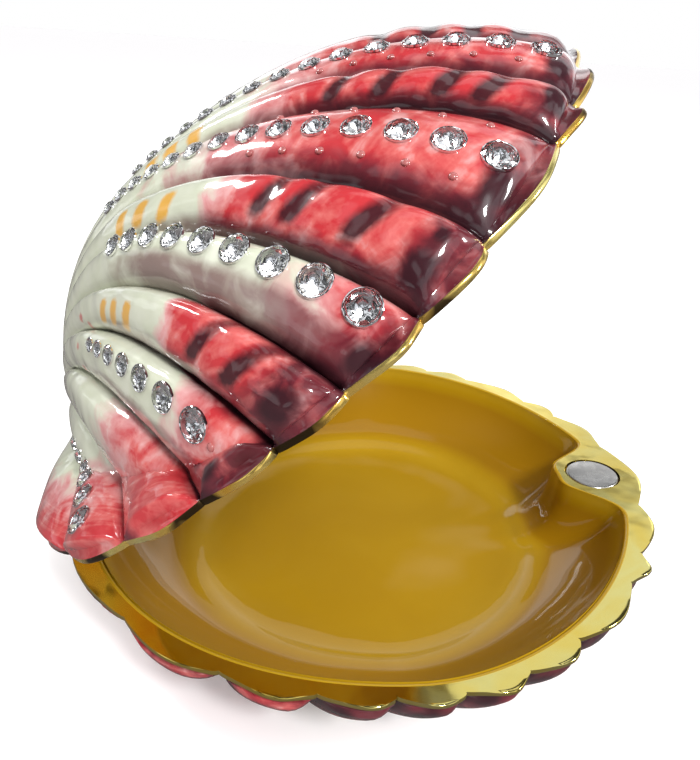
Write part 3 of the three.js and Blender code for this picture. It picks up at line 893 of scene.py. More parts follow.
def paint_new(bm, old_faces, slot):
    """Gives a material slot to every face that wasn't there before."""
    for face in set(bm.faces) - old_faces:
        face.material_index = slot


def open_edges(bm):
    return sum(1 for edge in bm.edges if not edge.is_manifold)


def finish_piece(bm, name, materials, body, replaces=(), sharp_angle=40):
    """Closes the work on a mesh: smooth faces, creases where they turn sharply, and its body."""
    for face in bm.faces:
        face.smooth = True
    for edge in bm.edges:
        edge.smooth = edge.calc_face_angle(0) < math.radians(sharp_angle)
    mesh = bpy.data.meshes.new(name)
    bm.to_mesh(mesh)
    bm.free()
    for material in materials:
        mesh.materials.append(material)
    piece = bpy.data.objects.new(name, mesh)
    bpy.context.scene.collection.objects.link(piece)
    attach(piece, body)
    if replaces:
        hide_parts(*replaces)
    print(name + ":", len(mesh.polygons), "faces")
    return piece


# %% [markdown]
# ## The flange
# Round the foot of the ribs runs a thin flange, gilt on its edge. It could be a strip swept along the rim,
# but then it would only touch the shell. Instead each step extrudes the rim once and sets the new edge
# between the foot and the scalloped outline, at its own height, so the flange gets a rounded nose and stays
# one skin with the shell. At the back a notch leaves room for the hinge's barrel.

# %% Flange steps
FLANGE_STEPS = [  # how far out, as a share of the way to the outline, and how high, in thicknesses
    (0.35, 0.78),
    (0.62, 0.72),
    (0.86, 0.66),
    (0.97, 0.52),
    (1.0, 0.3),
    (0.97, 0.08),
    (0.9, 0.0),
    (0.6, 0.0),
]
FIRST_STEP_DOWN = 0.8  # share of the way down that the first step goes
LID_GILT_STEP = 3
BASE_GILT_STEP = 2


def clear_of_hinge(places):
    """Keeps points out of the hinge's barrel; heights are above the base's rim plane."""
    room = KNUCKLE_RADIUS + KNUCKLE_CLEARANCE
    beside = np.abs(places[:, 0]) < HINGE_HALF_LENGTH + 2 * KNUCKLE_GAP
    down = np.abs(places[:, 2] + HINGE_DROP)
    front = HINGE_Y - np.sqrt(np.maximum(0, room**2 - down**2))
    places[:, 1] = np.where(beside & (down < room), np.minimum(places[:, 1], front), places[:, 1])
    return places


def add_flange(bm, edges, lift, up, scallop, first_gilt_step):
    """Extrudes the gilt flange out of the foot, and returns the edge that lies on the rim plane."""
    layer = bm.verts.layers.float["turn"]
    foot = {round(vert[layer], 6): Vector(vert.co) for edge in edges for vert in edge.verts}
    for step, (out, high) in enumerate(FLANGE_STEPS):
        edges, verts, faces = extrude_rim(bm, edges)
        turns = np.array([vert[layer] for vert in verts])
        inner = np.array([foot[round(turn, 6)] for turn in turns])
        outer = rim_point(turns, scallop)
        places = inner + out * (outer - inner)
        places[:, 2] = high * FLANGE_THICKNESS
        if step == 0:
            places[:, 2] = inner[:, 2] + FIRST_STEP_DOWN * (places[:, 2] - inner[:, 2])
        places[:, 2] = up * places[:, 2] + lift
        places = clear_of_hinge(places)
        places[:, 2] = up * (places[:, 2] - lift)
        set_places(verts, places)
        for face in faces:
            face.material_index = 1 if step >= first_gilt_step else 0
    return edges


# %% [markdown]
# ## The hollows
# A second sheet, of bearings and shares round the hollow's own centre, makes the inside. Solidify could give
# an inside from the outside, but it would carry the ribs through, and the real hollows are smooth. At the
# front the land swells inwards as a tongue to carry the magnet, and the wall below it swells with it. The
# enamel ends in a small rounded lip on the flat gilt land.

# %% A hollow's form
MAGNET_Y = -24.1 * MM
MAGNET_RADIUS = 3 * MM
MAGNET_THICKNESS = 1.4 * MM
FIT_GAP = 0.15 * MM
TONGUE_END_Y = MAGNET_Y + MAGNET_RADIUS + 1.3 * MM
TONGUE_HALF_WIDTH = 5 * MM
FLOOR_EDGE = 0.70
FLOOR_EDGE_SPREAD = 0.035
FLOOR_RING = 0.2 * MM  # how far the edge of the bowl's floor stands up
LID_HOLLOW_HEIGHT = 13.2 * MM
BOWL_CENTRE_Y = 1 * MM
BOWL_DEPTH = 8.6 * MM
BOWL_FLAT_TOP = 5.0
BOWL_WALL = 0.8


class Hollow:
    def __init__(self, mouth, centre_y, depth, flat_top, wall, ring=0.0):
        self.mouth = mouth
        self.centre_y = centre_y
        self.depth = depth
        self.flat_top = flat_top
        self.wall = wall
        self.ring = ring

    def point(self, bearing, share, outwards=0.0):
        dx, dy = heading(bearing)
        reach = self.mouth.reach(self.centre_y, dx, dy)
        tongue = TONGUE_END_Y - (self.centre_y - float(self.mouth.reach(self.centre_y, 0.0, -1.0)))
        beside = np.abs(reach * dx) / TONGUE_HALF_WIDTH
        in_tongue = np.where(dy < 0, np.exp(-(beside**4) * math.log(2)), 0)
        along = share * (reach - tongue * in_tongue * share**3) + outwards
        height = self.depth * falling(share, self.flat_top, self.wall)
        height = height - self.ring * np.exp(-(((share - FLOOR_EDGE) / FLOOR_EDGE_SPREAD) ** 2))
        return np.stack([along * dx, self.centre_y + along * dy, height], axis=-1)


lid_mouth = Oval(28.4 * MM, 25.6 * MM, 25.6 * MM, LID_FOOT_FULLNESS)
lid_hollow = Hollow(lid_mouth, CROWN_Y, LID_HOLLOW_HEIGHT, LID_FLAT_TOP, LID_WALL)
bowl_mouth = Oval(29.9 * MM, 26.1 * MM, 30.2 * MM)
bowl = Hollow(bowl_mouth, BOWL_CENTRE_Y, BOWL_DEPTH, BOWL_FLAT_TOP, BOWL_WALL, FLOOR_RING)
print("bowl:", round(bowl.depth / MM, 1), "mm deep, lid's hollow:", round(lid_hollow.depth / MM, 1), "mm")

# %% Hollow sheet
HOLLOW_COLUMNS = 360
HOLLOW_ROWS = 44
LIP_STEPS = [(0.05, -0.25), (0.12, -0.10), (0.28, 0.0), (0.45, 0.0)]  # outwards and up, in millimetres
# Painted shade on the bowl's walls, and a painted highlight on a ring round the floor's edge and on the lip.
WALL_SHADE = 0.75
WALL_START = 0.70
WALL_FULL = 0.80
LIP_START = 0.95
PALE_RING = 0.22
PALE_RING_SHARE = 0.66
PALE_RING_SPREAD = 0.05


def painted_bowl_light(share):
    """High for painted shade on the wall, below 0 for a painted highlight on the pale ring and the lip."""
    wall = WALL_SHADE * smoothstep(WALL_START, WALL_FULL, share)
    wall = wall * (1 - 1.5 * smoothstep(LIP_START, 1, share))
    return wall - PALE_RING * np.exp(-(((share - PALE_RING_SHARE) / PALE_RING_SPREAD) ** 2))


def add_hollow(bm, hollow):
    """Adds the inside, and returns the edge of its lip on the rim plane."""
    old_faces = set(bm.faces)
    grid = bmesh.ops.create_grid(bm, x_segments=HOLLOW_COLUMNS, y_segments=HOLLOW_ROWS, size=1)
    verts = grid["verts"]
    flat = np.array([vert.co for vert in verts])
    bearing = 180 * flat[:, 0]
    share = crowded((flat[:, 1] + 1) / 2)
    set_places(verts, hollow.point(bearing, share))
    keep_values(bm, verts, {"bearing": bearing, "wall": painted_bowl_light(share)})
    bmesh.ops.remove_doubles(bm, verts=verts, dist=MERGE)
    layer = bm.verts.layers.float["bearing"]
    edges = [edge for edge in bm.edges if edge.is_boundary and not set(edge.link_faces) & old_faces]
    for out, high in LIP_STEPS:
        edges, verts, faces = extrude_rim(bm, edges)
        bearings = np.array([vert[layer] for vert in verts])
        places = hollow.point(bearings, np.ones_like(bearings), out * MM)
        places[:, 2] = -high * MM
        set_places(verts, places)
    paint_new(bm, old_faces, 2)
    return edges


def add_land(bm, outer, inner):
    """Fills the flat land between the flange and the hollow, round the pocket for the magnet."""
    old_faces = set(bm.faces)
    spot = Matrix.Translation((0, MAGNET_Y, 0))
    ring = bmesh.ops.create_circle(bm, segments=48, radius=MAGNET_RADIUS + FIT_GAP, matrix=spot)["verts"]
    ring_edges = edges_of(bm, ring)
    bmesh.ops.triangle_fill(bm, edges=outer + inner + ring_edges, use_beauty=True, normal=(0, 0, -1))
    deep, verts, _ = extrude_rim(bm, ring_edges)
    bmesh.ops.translate(bm, verts=verts, vec=(0, 0, MAGNET_THICKNESS + FIT_GAP))
    bmesh.ops.triangle_fill(bm, edges=deep, use_beauty=True, normal=(0, 0, -1))
    paint_new(bm, old_faces, 1)


# %% [markdown]
# ## Seats for the crystals
# Every other rib carries a row of stones along its crest, which shrink from the rim to the beak. Spacing
# them evenly would leave the small ones lonely, so a walk down the crest sets each stone when it has gone
# far enough for the two sizes that meet there. The seats are needed twice: first to drill a socket for each
# into the lid, then to set the stone in it.

# %% Where the stones sit
SIDES = ("left", "right")
CRYSTAL_RIBS = [1, 3, 5, 7, 9]
LARGEST_CRYSTAL = 2.1 * MM
SMALLEST_CRYSTAL = 0.9 * MM
CRYSTAL_SPACING = 1.48
CRYSTAL_SHRINKS = [0.955, 0.955, 0.955, 0.88, 0.88]
FIRST_CRYSTAL_INSETS = [2.5 * MM, 1.7 * MM, 1.9 * MM, 3.5 * MM, 2.3 * MM]
ROW_ENDS = [0.42, 0.42, 0.585, 0.61, 0.5]  # shares of the way to the rim, where the rows start
SOLID_CRYSTALS = 5
GIRDLE_RISE = 0.1 * MM
CREST_STEPS = 400


def crest_line(rib):
    """(shares, turns, places) down a rib's crest from the rim, over the lid's rim plane."""
    shares = 1 - np.arange(CREST_STEPS) / CREST_STEPS
    turns = np.full(CREST_STEPS, rib + crest_of(rib) / 2)
    return shares, turns, shell_point(lid_height, turns, shares, rounded=False)


def stones_in(row):
    """(place, way out, diameter) of each stone of a row, from the rim inwards."""
    shares, turns, points = crest_line(CRYSTAL_RIBS[row])
    normals = smooth_normal(lid_height, angle_of(turns), shares)
    diameter, wanted, last, stones = LARGEST_CRYSTAL, FIRST_CRYSTAL_INSETS[row], points[0], []
    for point, normal, share in zip(points[1:], normals[1:], shares[1:]):
        if np.linalg.norm(point - last) < wanted:
            continue
        if share < ROW_ENDS[row]:
            break
        stones.append((Vector(point), Vector(normal), diameter))
        last = point
        smaller = max(SMALLEST_CRYSTAL, diameter * CRYSTAL_SHRINKS[row])
        wanted = CRYSTAL_SPACING * (diameter + smaller) / 2
        diameter = smaller
    return stones


def standing(place, normal):
    """Turns +Z to the way out and moves to the place."""
    return Matrix.Translation(place) @ Vector((0, 0, 1)).rotation_difference(normal).to_matrix().to_4x4()


def reckon_seats():
    """Where each stone stands in the open box, by row and side, as (placing, diameter)."""
    found = {}
    flip = Matrix.Diagonal((-1, 1, 1, 1))
    for row in range(len(CRYSTAL_RIBS)):
        for side in SIDES:
            found[row, side] = []
            for place, normal, diameter in stones_in(row):
                if side == "right":
                    place, normal = flip @ place, flip @ normal
                placing = place_lid @ standing(place + GIRDLE_RISE * normal, normal)
                found[row, side].append((placing, diameter))
    return found


seats = reckon_seats()
print("seats:", [len(seats[row, "left"]) for row in range(len(CRYSTAL_RIBS))], "a side")

# %% [markdown]
# ## The lid
# Sheet, flange, hollow and land are now put together, and the whole casting turns open about the hinge.
# Between its bands each plain rib swells a little, as the real ones do. That could be a bump in the enamel,
# but it shows in the outline, so it is in the mesh.

# %% Lid casting
SWELL = 0.22 * MM
SWELL_DIP = 0.016  # half the length of the dip at a band, as a share of the way
FAT_RIBS = {2: 0.15 * MM, 4: 0.4 * MM, 6: 0.5 * MM}  # how much prouder the plain ribs stand
CASTING_SHARP = 45  # degrees; a finer angle would crease the enamel's own swells


def swell_between_bands(turn, share):
    raised = np.zeros_like(share)
    for name, rise in FAT_RIBS.items():
        fat = rise * section(turn) * smoothstep(0.6, 0.85, share)
        raised = np.where(rib_of(turn) == name, fat, raised)
    for name, centres in BANDS.items():
        for centre in centres:
            offset = (share - centre - BAND_SLANT * across(turn)) / SWELL_DIP
            dip = -SWELL * np.exp(-(offset**2)) * section(turn)
            raised = raised + np.where(rib_of(turn) == name, dip, 0)
    return raised


bm = new_sheet()
rim_edges = ribbed_sheet(bm, lid_height, swell_between_bands)
rim_edges = add_flange(bm, rim_edges, CLOSED_GAP, 1, LID_SCALLOP, LID_GILT_STEP)
lip_edges = add_hollow(bm, lid_hollow)
add_land(bm, rim_edges, lip_edges)
print("open edges in the lid:", open_edges(bm))
bmesh.ops.recalc_face_normals(bm, faces=bm.faces)
bmesh.ops.transform(bm, matrix=place_lid, verts=bm.verts)
finishes = [lid_enamel, lid_gilding, mustard_enamel]
casting = finish_piece(bm, "lid_casting", finishes, "lid", ["lid_shell"], CASTING_SHARP)

# %% [markdown]
# ### Sockets
# Each socket is a cone with a wide mouth. The seats could be modelled into the sheet, but its corners don't
# lie where the stones do, so a boolean drills all of them at once. The new corners that it makes have no
# paint values of their own, so every corner takes those of the nearest one of the undrilled casting.

# %% Drilling the sockets
SOCKET_RADIUS = 0.57  # these five are shares of the stone's diameter
SOCKET_FLARE = 1.45
SOCKET_TIP = 0.12
SOCKET_DEPTH = 0.46
SOCKET_TOP = 0.5


def socket_drills():
    bm = bmesh.new()
    for row_seats in seats.values():
        for placing, diameter in row_seats:
            bmesh.ops.create_cone(
                bm,
                cap_ends=True,
                segments=20,
                radius1=SOCKET_TIP * diameter,
                radius2=SOCKET_RADIUS * diameter * SOCKET_FLARE,
                depth=(SOCKET_DEPTH + SOCKET_TOP) * diameter,
                matrix=placing @ Matrix.Translation((0, 0, (SOCKET_TOP - SOCKET_DEPTH) * diameter / 2)),
            )
    drills = bpy.data.objects.new("drills", bpy.data.meshes.new("drills"))
    bm.to_mesh(drills.data)
    bm.free()
    bpy.context.scene.collection.objects.link(drills)
    return drills


def hand_on_paint(before, drilled):
    """Copies every named value to the drilled mesh, from the nearest corner of the undrilled one."""
    tree = KDTree(len(before.vertices))
    for vert in before.vertices:
        tree.insert(vert.co, vert.index)
    tree.balance()
    nearest = np.array([tree.find(vert.co)[1] for vert in drilled.vertices])
    for name in (*POINT_VALUES, "place"):
        layer = before.attributes[name]
        width, field = (3, "vector") if layer.data_type == "FLOAT_VECTOR" else (1, "value")
        values = np.zeros(len(before.vertices) * width, np.float32)
        layer.data.foreach_get(field, values)
        target = drilled.attributes.get(name) or drilled.attributes.new(name, layer.data_type, "POINT")
        target.data.foreach_set(field, values.reshape(-1, width)[nearest].ravel())


def drill(piece):
    drills = socket_drills()
    before = piece.data.copy()
    cut = piece.modifiers.new("sockets", "BOOLEAN")
    cut.operation = "DIFFERENCE"
    cut.solver = "MANIFOLD"
    cut.object = drills
    drilled = bpy.data.meshes.new_from_object(piece.evaluated_get(bpy.context.evaluated_depsgraph_get()))
    piece.modifiers.clear()
    bpy.data.objects.remove(drills)
    hand_on_paint(before, drilled)
    piece.data = drilled
    print("drilled:", len(drilled.polygons), "faces")


drill(casting)

# %% [markdown]
# ## The base
# Made the same way and turned over. A separate foot could be set under it, but the real one is the casting
# itself: the rounded underside is cut off flat with a plane, and the flat is gilt, since the box stands on
# it.

# %% Base casting
bm = new_sheet()
rim_edges = ribbed_sheet(bm, base_height)
rim_edges = add_flange(bm, rim_edges, 0.0, -1, BASE_SCALLOP, BASE_GILT_STEP)
foot_cut = bmesh.ops.bisect_plane(
    bm,
    geom=bm.verts[:] + bm.edges[:] + bm.faces[:],
    dist=MERGE,
    plane_co=(0, 0, BASE_DEPTH),
    plane_no=(0, 0, 1),
    clear_outer=True,
)["geom_cut"]
old_faces = set(bm.faces)
bmesh.ops.triangle_fill(bm, edges=of_kind(foot_cut, bmesh.types.BMEdge), use_beauty=True, normal=(0, 0, 1))
paint_new(bm, old_faces, 1)
lip_edges = add_hollow(bm, bowl)
add_land(bm, rim_edges, lip_edges)
print("open edges in the base:", open_edges(bm))
bmesh.ops.transform(bm, matrix=rim_down, verts=bm.verts)
bmesh.ops.recalc_face_normals(bm, faces=bm.faces)
finishes = [base_enamel, gilding, mustard_enamel]
finish_piece(bm, "base_casting", finishes, "base", ["base_shell"], CASTING_SHARP)

# %% [markdown]
# ## Hinge and magnets
# Two barrels belong to the base and one to the lid, each with a lug under or over the rim, and a pin runs
# through them. A boolean could join barrel and lug, but on so small a hinge it shows nothing, so they only
# overlap. The magnets are discs with softened edges, which catch the light as ground ones do.

# %% Rods and softened edges
LUG_START_Y = 29 * MM
LUG_THICKNESS = 1.2 * MM
LUG_GAP = 0.05 * MM
EDGE = 0.15 * MM
SOFTEN_OVER = 60  # degrees


def cylinder(bm, radius, length, segments, placing):
    made = bmesh.ops.create_cone(
        bm, cap_ends=True, segments=segments, radius1=radius, radius2=radius, depth=length, matrix=placing
    )
    return made["verts"]


def rod(bm, radius, start, end, segments=32):
    """A rod on the hinge's axis."""
    middle = Matrix.Translation(((start + end) / 2, HINGE_Y, HINGE_Z))
    return cylinder(bm, radius, end - start, segments, middle @ Matrix.Rotation(math.pi / 2, 4, "Y"))


def soften(bm, verts, width):
    sharp = [edge for edge in edges_of(bm, verts) if edge.calc_face_angle(0) > math.radians(SOFTEN_OVER)]
    rule = {"segments": 3, "profile": 0.5, "affect": "EDGES", "material": -1, "clamp_overlap": True}
    bmesh.ops.bevel(bm, geom=sharp, offset=width, **rule)


# %% Barrels and pin
PIN_RADIUS = 0.5 * MM
PIN_EDGE = 0.1 * MM


def barrel(bm, start, end, lug_low):
    soften(bm, rod(bm, KNUCKLE_RADIUS, start, end), EDGE)
    size = Matrix.Diagonal((end - start - 2 * LUG_GAP, HINGE_Y - LUG_START_Y, LUG_THICKNESS, 1))
    middle = ((start + end) / 2, (HINGE_Y + LUG_START_Y) / 2, lug_low + LUG_THICKNESS / 2)
    lug = bmesh.ops.create_cube(bm, size=1, matrix=Matrix.Translation(middle) @ size)["verts"]
    soften(bm, lug, EDGE)


bm = bmesh.new()
gap_end = LID_KNUCKLE_HALF_LENGTH + KNUCKLE_GAP
for start, end in ((-HINGE_HALF_LENGTH, -gap_end), (gap_end, HINGE_HALF_LENGTH)):
    barrel(bm, start, end, BASE_DEPTH - LUG_THICKNESS - LUG_GAP)
finish_piece(bm, "base_barrels", [gilding], "base")
bm = bmesh.new()
barrel(bm, -LID_KNUCKLE_HALF_LENGTH, LID_KNUCKLE_HALF_LENGTH, BASE_DEPTH + CLOSED_GAP + LUG_GAP)
bmesh.ops.transform(bm, matrix=open_lid, verts=bm.verts)
finish_piece(bm, "lid_barrel", [gilding], "lid")
bm = bmesh.new()
soften(bm, rod(bm, PIN_RADIUS, -HINGE_HALF_LENGTH, HINGE_HALF_LENGTH, 24), PIN_EDGE)
finish_piece(bm, "pin", [gilding], "base", ["hinge_pin"])

# %% Magnets
MAGNET_EDGE = 0.25 * MM


def magnet(name, low, placing, body, node):
    bm = bmesh.new()
    spot = Matrix.Translation((0, MAGNET_Y, low + MAGNET_THICKNESS / 2))
    soften(bm, cylinder(bm, MAGNET_RADIUS, MAGNET_THICKNESS, 64, spot), MAGNET_EDGE)
    bmesh.ops.transform(bm, matrix=placing, verts=bm.verts)
    finish_piece(bm, name, [nickel], body, [node])


magnet("base_magnet_disc", BASE_DEPTH - MAGNET_THICKNESS, Matrix(), "base", "base_magnet")
magnet("lid_magnet_disc", BASE_DEPTH + CLOSED_GAP, open_lid, "lid", "lid_magnet")

# %% [markdown]
# ## Cutting and setting the crystals
# A round brilliant has a flat table, a ring of kite facets and a ring of girdle facets above, and a cone of
# facets below. It could be ground from a cylinder with planes, but its corners lie on a few circles, and the
# convex hull of those corners is the cut stone. Each sits in a cup of silver foil with a thin rolled edge,
# spun from a profile as a real one is drawn.

# %% Cutting a stone
FACET_RINGS = [  # corners, radius and height as shares of the diameter, and half facets turned
    (8, 0.28, 0.17, 0),  # the table
    (8, 0.405, 0.095, 1),
    (16, 0.5, 0.015, 0),  # the girdle
    (16, 0.5, -0.015, 0),
    (8, 0.27, -0.19, 1),
    (4, 0.02, -0.34, 0),  # the point, a little blunt
]
HALF_FACET = math.pi / 8
FACET_SHARP = 1  # degrees, so that every facet stays flat


def cut_stone(bm, diameter, placing):
    verts = []
    for count, radius, high, turned in FACET_RINGS:
        spot = Matrix.Translation((0, 0, high * diameter)) @ Matrix.Rotation(turned * HALF_FACET, 4, "Z")
        verts += bmesh.ops.create_circle(bm, segments=count, radius=radius * diameter, matrix=spot)["verts"]
    made = bmesh.ops.convex_hull(bm, input=verts, use_existing_faces=False)
    leftover = of_kind(made["geom_interior"] + made["geom_unused"], bmesh.types.BMVert)
    bmesh.ops.delete(bm, geom=leftover, context="VERTS")
    kept = [vert for vert in verts if vert.is_valid]
    bmesh.ops.transform(bm, matrix=placing, verts=kept)


# %% Spinning a cup
CUP_PROFILE = [  # outwards and up, as shares of the stone's diameter
    (0, -0.40),
    (0.30, -0.21),
    (0.505, -0.045),
    (0.512, 0.015),
    (0.53, 0.024),
    (0.548, 0.006),
    (0.552, -0.07),
]


def spin_profile(bm, profile, steps, merge):
    """Spins a line of (outwards, up) round the Z axis into one skin."""
    verts = [bm.verts.new((x, 0, z)) for x, z in profile]
    edges = [bm.edges.new(pair) for pair in zip(verts, verts[1:])]
    whole = {"cent": (0, 0, 0), "axis": (0, 0, 1), "angle": 2 * math.pi, "use_merge": True}
    bmesh.ops.spin(bm, geom=verts + edges, steps=steps, **whole)
    bmesh.ops.remove_doubles(bm, verts=bm.verts, dist=merge)


def foil_cup(cups, diameter, placing):
    """A cone of foil with a rolled edge that stands just round the stone."""
    bm = bmesh.new()
    spin_profile(bm, [(x * diameter, z * diameter) for x, z in CUP_PROFILE], 20, MERGE)
    bmesh.ops.transform(bm, matrix=placing, verts=bm.verts)
    mesh = bpy.data.meshes.new("cup")
    bm.to_mesh(mesh)
    bm.free()
    cups.from_mesh(mesh)
    bpy.data.meshes.remove(mesh)


# %% Setting the rows
stones_set = 0
for row, rib in enumerate(CRYSTAL_RIBS):
    for side in SIDES:
        glass, cups = bmesh.new(), bmesh.new()
        for placing, diameter in seats[row, side]:
            cut_stone(glass, diameter, placing)
            foil_cup(cups, diameter, placing)
            stones_set += 1
        for bm in (glass, cups):
            bmesh.ops.recalc_face_normals(bm, faces=bm.faces)
        nodes = [f"crystal_{side}_{row + 1}_{i}" for i in range(1, SOLID_CRYSTALS + 1)]
        finish_piece(glass, f"stones_{side}_{row + 1}", [crystal], "lid", nodes, FACET_SHARP)
        finish_piece(cups, f"cups_{side}_{row + 1}", [foil], "lid")
print("stones:", stones_set)

# %% [markdown]
# ## Drops of enamel
# Small pale drops stand in the enamel beside the larger stones of the two middle rows, and one beyond the
# first stone of the next two rows. They are raised, so a dab of paint wouldn't do. Each is a flattened round
# drop set on the surface between two stones.

# %% Drops beside the stones
DROP_RADIUS = 0.29 * MM
DROP_FLATNESS = 0.55
DROP_SHARP = 60  # degrees, so that a drop is smooth all over
DROP_ROWS = {  # by row: how many drops, and where across the rib
    0: (6, [0.5]),
    1: (6, [0.5, -0.55]),
    2: (1, [-0.2]),
    3: (1, [-0.35]),
}


def surface_spot(rib, v, share):
    turn, share = np.array([rib + v / 2]), np.array([share])
    point = shell_point(lid_height, turn, share)[0]
    return Vector(point), Vector(smooth_normal(lid_height, angle_of(turn), share)[0])


def stone_shares(row):
    """Shares at which a row's stones sit, from the rim inwards."""
    shares, _, line = crest_line(CRYSTAL_RIBS[row])
    places = [np.array(place) for place, _, _ in stones_in(row)]
    return [shares[np.argmin(np.linalg.norm(line - place, axis=1))] for place in places]


bm = bmesh.new()
drops = 0
for row, (count, places_across) in DROP_ROWS.items():
    found = stone_shares(row)
    middles = [(first + second) / 2 for first, second in zip(found, found[1:])]
    if count == 1:
        middles = [(1 + 2 * found[0]) / 3]
    for share in middles[:count]:
        for v in places_across:
            place, normal = surface_spot(CRYSTAL_RIBS[row], v, share)
            for mirrored in (1, -1):
                flip = Matrix.Diagonal((mirrored, 1, 1, 1))
                flat = Matrix.Diagonal((1, 1, DROP_FLATNESS, 1))
                drop = place_lid @ standing(flip @ place, flip @ normal) @ flat
                bmesh.ops.create_icosphere(bm, subdivisions=2, radius=DROP_RADIUS, matrix=drop)
                drops += 1
finish_piece(bm, "enamel_drops", [drop_enamel], "lid", sharp_angle=DROP_SHARP)
print("drops:", drops)

# %% [markdown]
# ## Floor
# A wide pale floor runs out so far that its edge is lost, which gives a calm background from every side. It
# glows a little, so that it stays white round the object while the shadow still shows. A glossy enamel would
# mirror so bright a floor as milk, so for mirrored rays the floor is dim, as it is under a real product
# table. That is a matter of the stage alone, and the object's own materials don't know of it.

# %% Pale floor
FLOOR_RADIUS = 60
FLOOR_SHADE = (0.80, 0.78, 0.78, 1)
FLOOR_PALE = (0.86, 0.85, 0.85, 1)
FLOOR_GLOW_TINT = (1, 0.985, 0.985, 1)
FLOOR_GLOW = 0.22
DIM_FLOOR = (0.12, 0.11, 0.11, 1)


def mix_shaders(tree, seen_by, first, second):
    """The second shader for one kind of ray, the first for all others."""
    seen = add_node(tree, "ShaderNodeLightPath").outputs[seen_by]
    mixed = add_node(tree, "ShaderNodeMixShader", Fac=seen)
    tree.links.new(first.outputs[0], mixed.inputs[1])
    tree.links.new(second.outputs[0], mixed.inputs[2])
    return mixed


def floor_paper():
    made, tree, surface, where = new_material("pale_floor")
    cloud = place_group(tree, clouds, Vector=where, Scale=3.0, Spread=0.1)["Value"]
    color = blend_colors(tree, reckon(tree, "ADD", cloud, 0.5, clamp=True), FLOOR_SHADE, FLOOR_PALE)
    dress(tree, surface, Base_Color=color, Roughness=1.0, Specular_IOR_Level=0.0)
    dress(tree, surface, Emission_Color=FLOOR_GLOW_TINT, Emission_Strength=FLOOR_GLOW)
    dim = add_node(tree, "ShaderNodeBsdfDiffuse", Color=DIM_FLOOR)
    mixed = mix_shaders(tree, "Is Glossy Ray", surface, dim)
    tree.links.new(mixed.outputs[0], tree.nodes["Material Output"].inputs["Surface"])
    return made


def studio_floor():
    bm = bmesh.new()
    spin_profile(bm, [(0, 0), (FLOOR_RADIUS, 0)], 96, 0.01 * MM)
    bmesh.ops.recalc_face_normals(bm, faces=bm.faces)
    for face in bm.faces:
        face.smooth = True
        if face.normal.z < 0:
            face.normal_flip()
    mesh = bpy.data.meshes.new("floor")
    bm.to_mesh(mesh)
    bm.free()
    mesh.materials.append(floor_paper())
    floor = bpy.data.objects.new("floor", mesh)
    bpy.context.scene.collection.objects.link(floor)
    return floor


print("floor:", len(studio_floor().data.polygons), "faces")

# %% [markdown]
# ## Lights
# One large lamp would leave the glaze dull, and bare bulbs would spot it. Three small softboxes put crisp
# highlights on it. A long low panel shows only in the gloss, along the ribs. A weak, very soft sun overhead
# gives the even light of a studio, and isn't mirrored.

# %% Softboxes and sun
AIM = Vector((0, 0, 0.02))  # the middle of the box


def add_light(data, name, place):
    light = bpy.data.objects.new(name, data)
    light.location = place
    light.rotation_euler = (Vector(place) - AIM).to_track_quat("Z", "Y").to_euler()
    light.visible_camera = False
    bpy.context.scene.collection.objects.link(light)
    return light


def soft_light(name, place, size, power):
    data = bpy.data.lights.new(name, "AREA")
    data.shape = "RECTANGLE"
    data.size, data.size_y = size
    data.energy = power
    return add_light(data, name, place)


soft_light("key", (-0.45, -0.20, 0.50), (0.08, 0.12), 3.0)
soft_light("back", (0.25, 0.40, 0.45), (0.10, 0.16), 1.6)
soft_light("front", (-0.10, -0.55, 0.30), (0.08, 0.14), 1.4)
low_panel = soft_light("low_panel", (0.60, -0.10, 0.24), (1.0, 0.20), 0.5)
low_panel.visible_diffuse = False
sun = bpy.data.lights.new("overhead", "SUN")
sun.energy = 1.9
sun.angle = math.radians(50)
overhead = add_light(sun, "overhead", (-0.36, -0.28, 0.90))
overhead.visible_glossy = False
print("lights:", len(bpy.data.lights))

# %% [markdown]
# ## Sky
# The sky is three things at once: a soft fill for matt surfaces, plain white behind the object, and for the
# gloss a tent of pale panels with dark gaps, because crystals and gilding need both to sparkle. The panels
# are noise cut off at a level.

# %% Tent and sky
SKY_TINT = (0.95, 0.97, 1.0, 1)
WHITE = (1, 1, 1, 1)
SKY_FILL = 0.42
PANEL_LEVEL = 0.47
PANEL_FIRMNESS = 9.0
PANEL_LIGHT = 0.9
GAP_LIGHT = 0.06


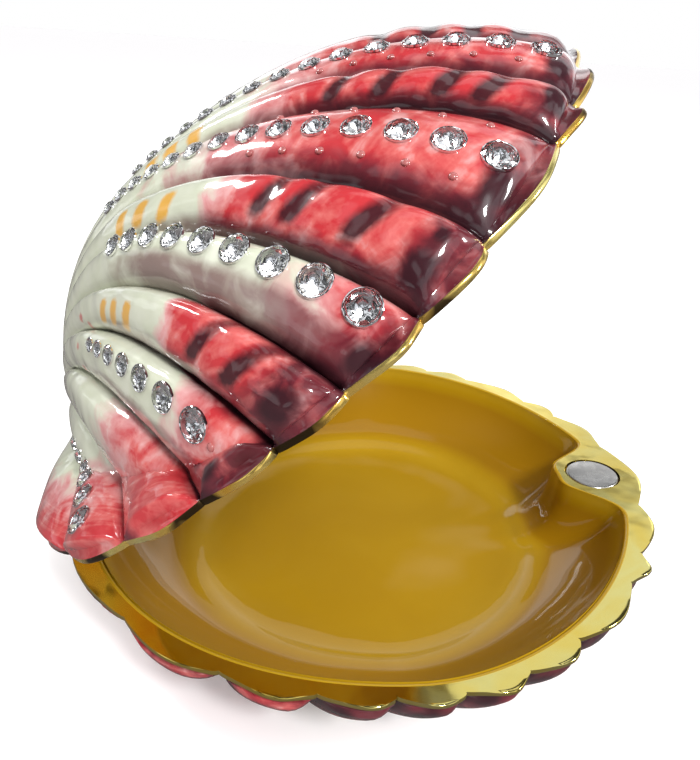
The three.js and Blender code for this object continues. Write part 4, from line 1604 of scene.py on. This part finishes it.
def studio_sky():
    world = bpy.data.worlds.new("sky")
    world.use_nodes = True
    tree = world.node_tree
    last = tree.nodes["Background"]
    dress(tree, last, Color=SKY_TINT, Strength=SKY_FILL)
    towards = add_node(tree, "ShaderNodeTexCoord").outputs["Generated"]
    gaps = add_node(tree, "ShaderNodeTexNoise", Vector=towards, Scale=2.6, Detail=1.0).outputs["Fac"]
    over = reckon(tree, "SUBTRACT", gaps, PANEL_LEVEL)
    panels = reckon(tree, "MULTIPLY", over, PANEL_FIRMNESS, clamp=True)
    tent = reckon(tree, "ADD", reckon(tree, "MULTIPLY", panels, PANEL_LIGHT), GAP_LIGHT)
    for seen_by, color, strength in (("Is Glossy Ray", SKY_TINT, tent), ("Is Camera Ray", WHITE, 1.0)):
        shown = add_node(tree, "ShaderNodeBackground", Color=color, Strength=strength)
        last = mix_shaders(tree, seen_by, last, shown)
    tree.links.new(last.outputs[0], tree.nodes["World Output"].inputs["Surface"])
    return world


bpy.context.scene.world = studio_sky()
bpy.context.scene.view_settings.view_transform = "Standard"
print("sky nodes:", len(bpy.context.scene.world.node_tree.nodes))

# %% [markdown]
# ## Camera
# The box is seen from its side and from above, close by, and the lens is shifted so that the object fills
# the frame. The camera could be put at a place and turned by hand, but angles from the box are easier to set
# and read. So it stands on a sphere round the middle of the rim and looks back at it.

# %% Camera
CAMERA_AZIMUTH = math.radians(-96.94)
CAMERA_ELEVATION = math.radians(31.59)
CAMERA_ROLL = math.radians(3.7)
CAMERA_DISTANCE = 2.415 * HALF_WIDTH
CAMERA_LENS = 32.57
CAMERA_SHIFT = (-0.0468, 0.1228)
camera_data = bpy.data.cameras.new("camera")
camera_data.lens = CAMERA_LENS
camera_data.shift_x, camera_data.shift_y = CAMERA_SHIFT
camera_data.clip_start = 1 * MM
camera = bpy.data.objects.new("camera", camera_data)
back = Vector(
    (
        math.sin(CAMERA_AZIMUTH) * math.cos(CAMERA_ELEVATION),
        -math.cos(CAMERA_AZIMUTH) * math.cos(CAMERA_ELEVATION),
        math.sin(CAMERA_ELEVATION),
    )
)
camera.location = Vector((0, 0, BASE_DEPTH)) + CAMERA_DISTANCE * back
view = (-back).to_track_quat("-Z", "Y").to_matrix().to_4x4() @ Matrix.Rotation(CAMERA_ROLL, 4, "Z")
camera.rotation_euler = view.to_euler()
bpy.context.scene.collection.objects.link(camera)
bpy.context.scene.camera = camera
print("camera at", [round(value / MM) for value in camera.location], "mm")
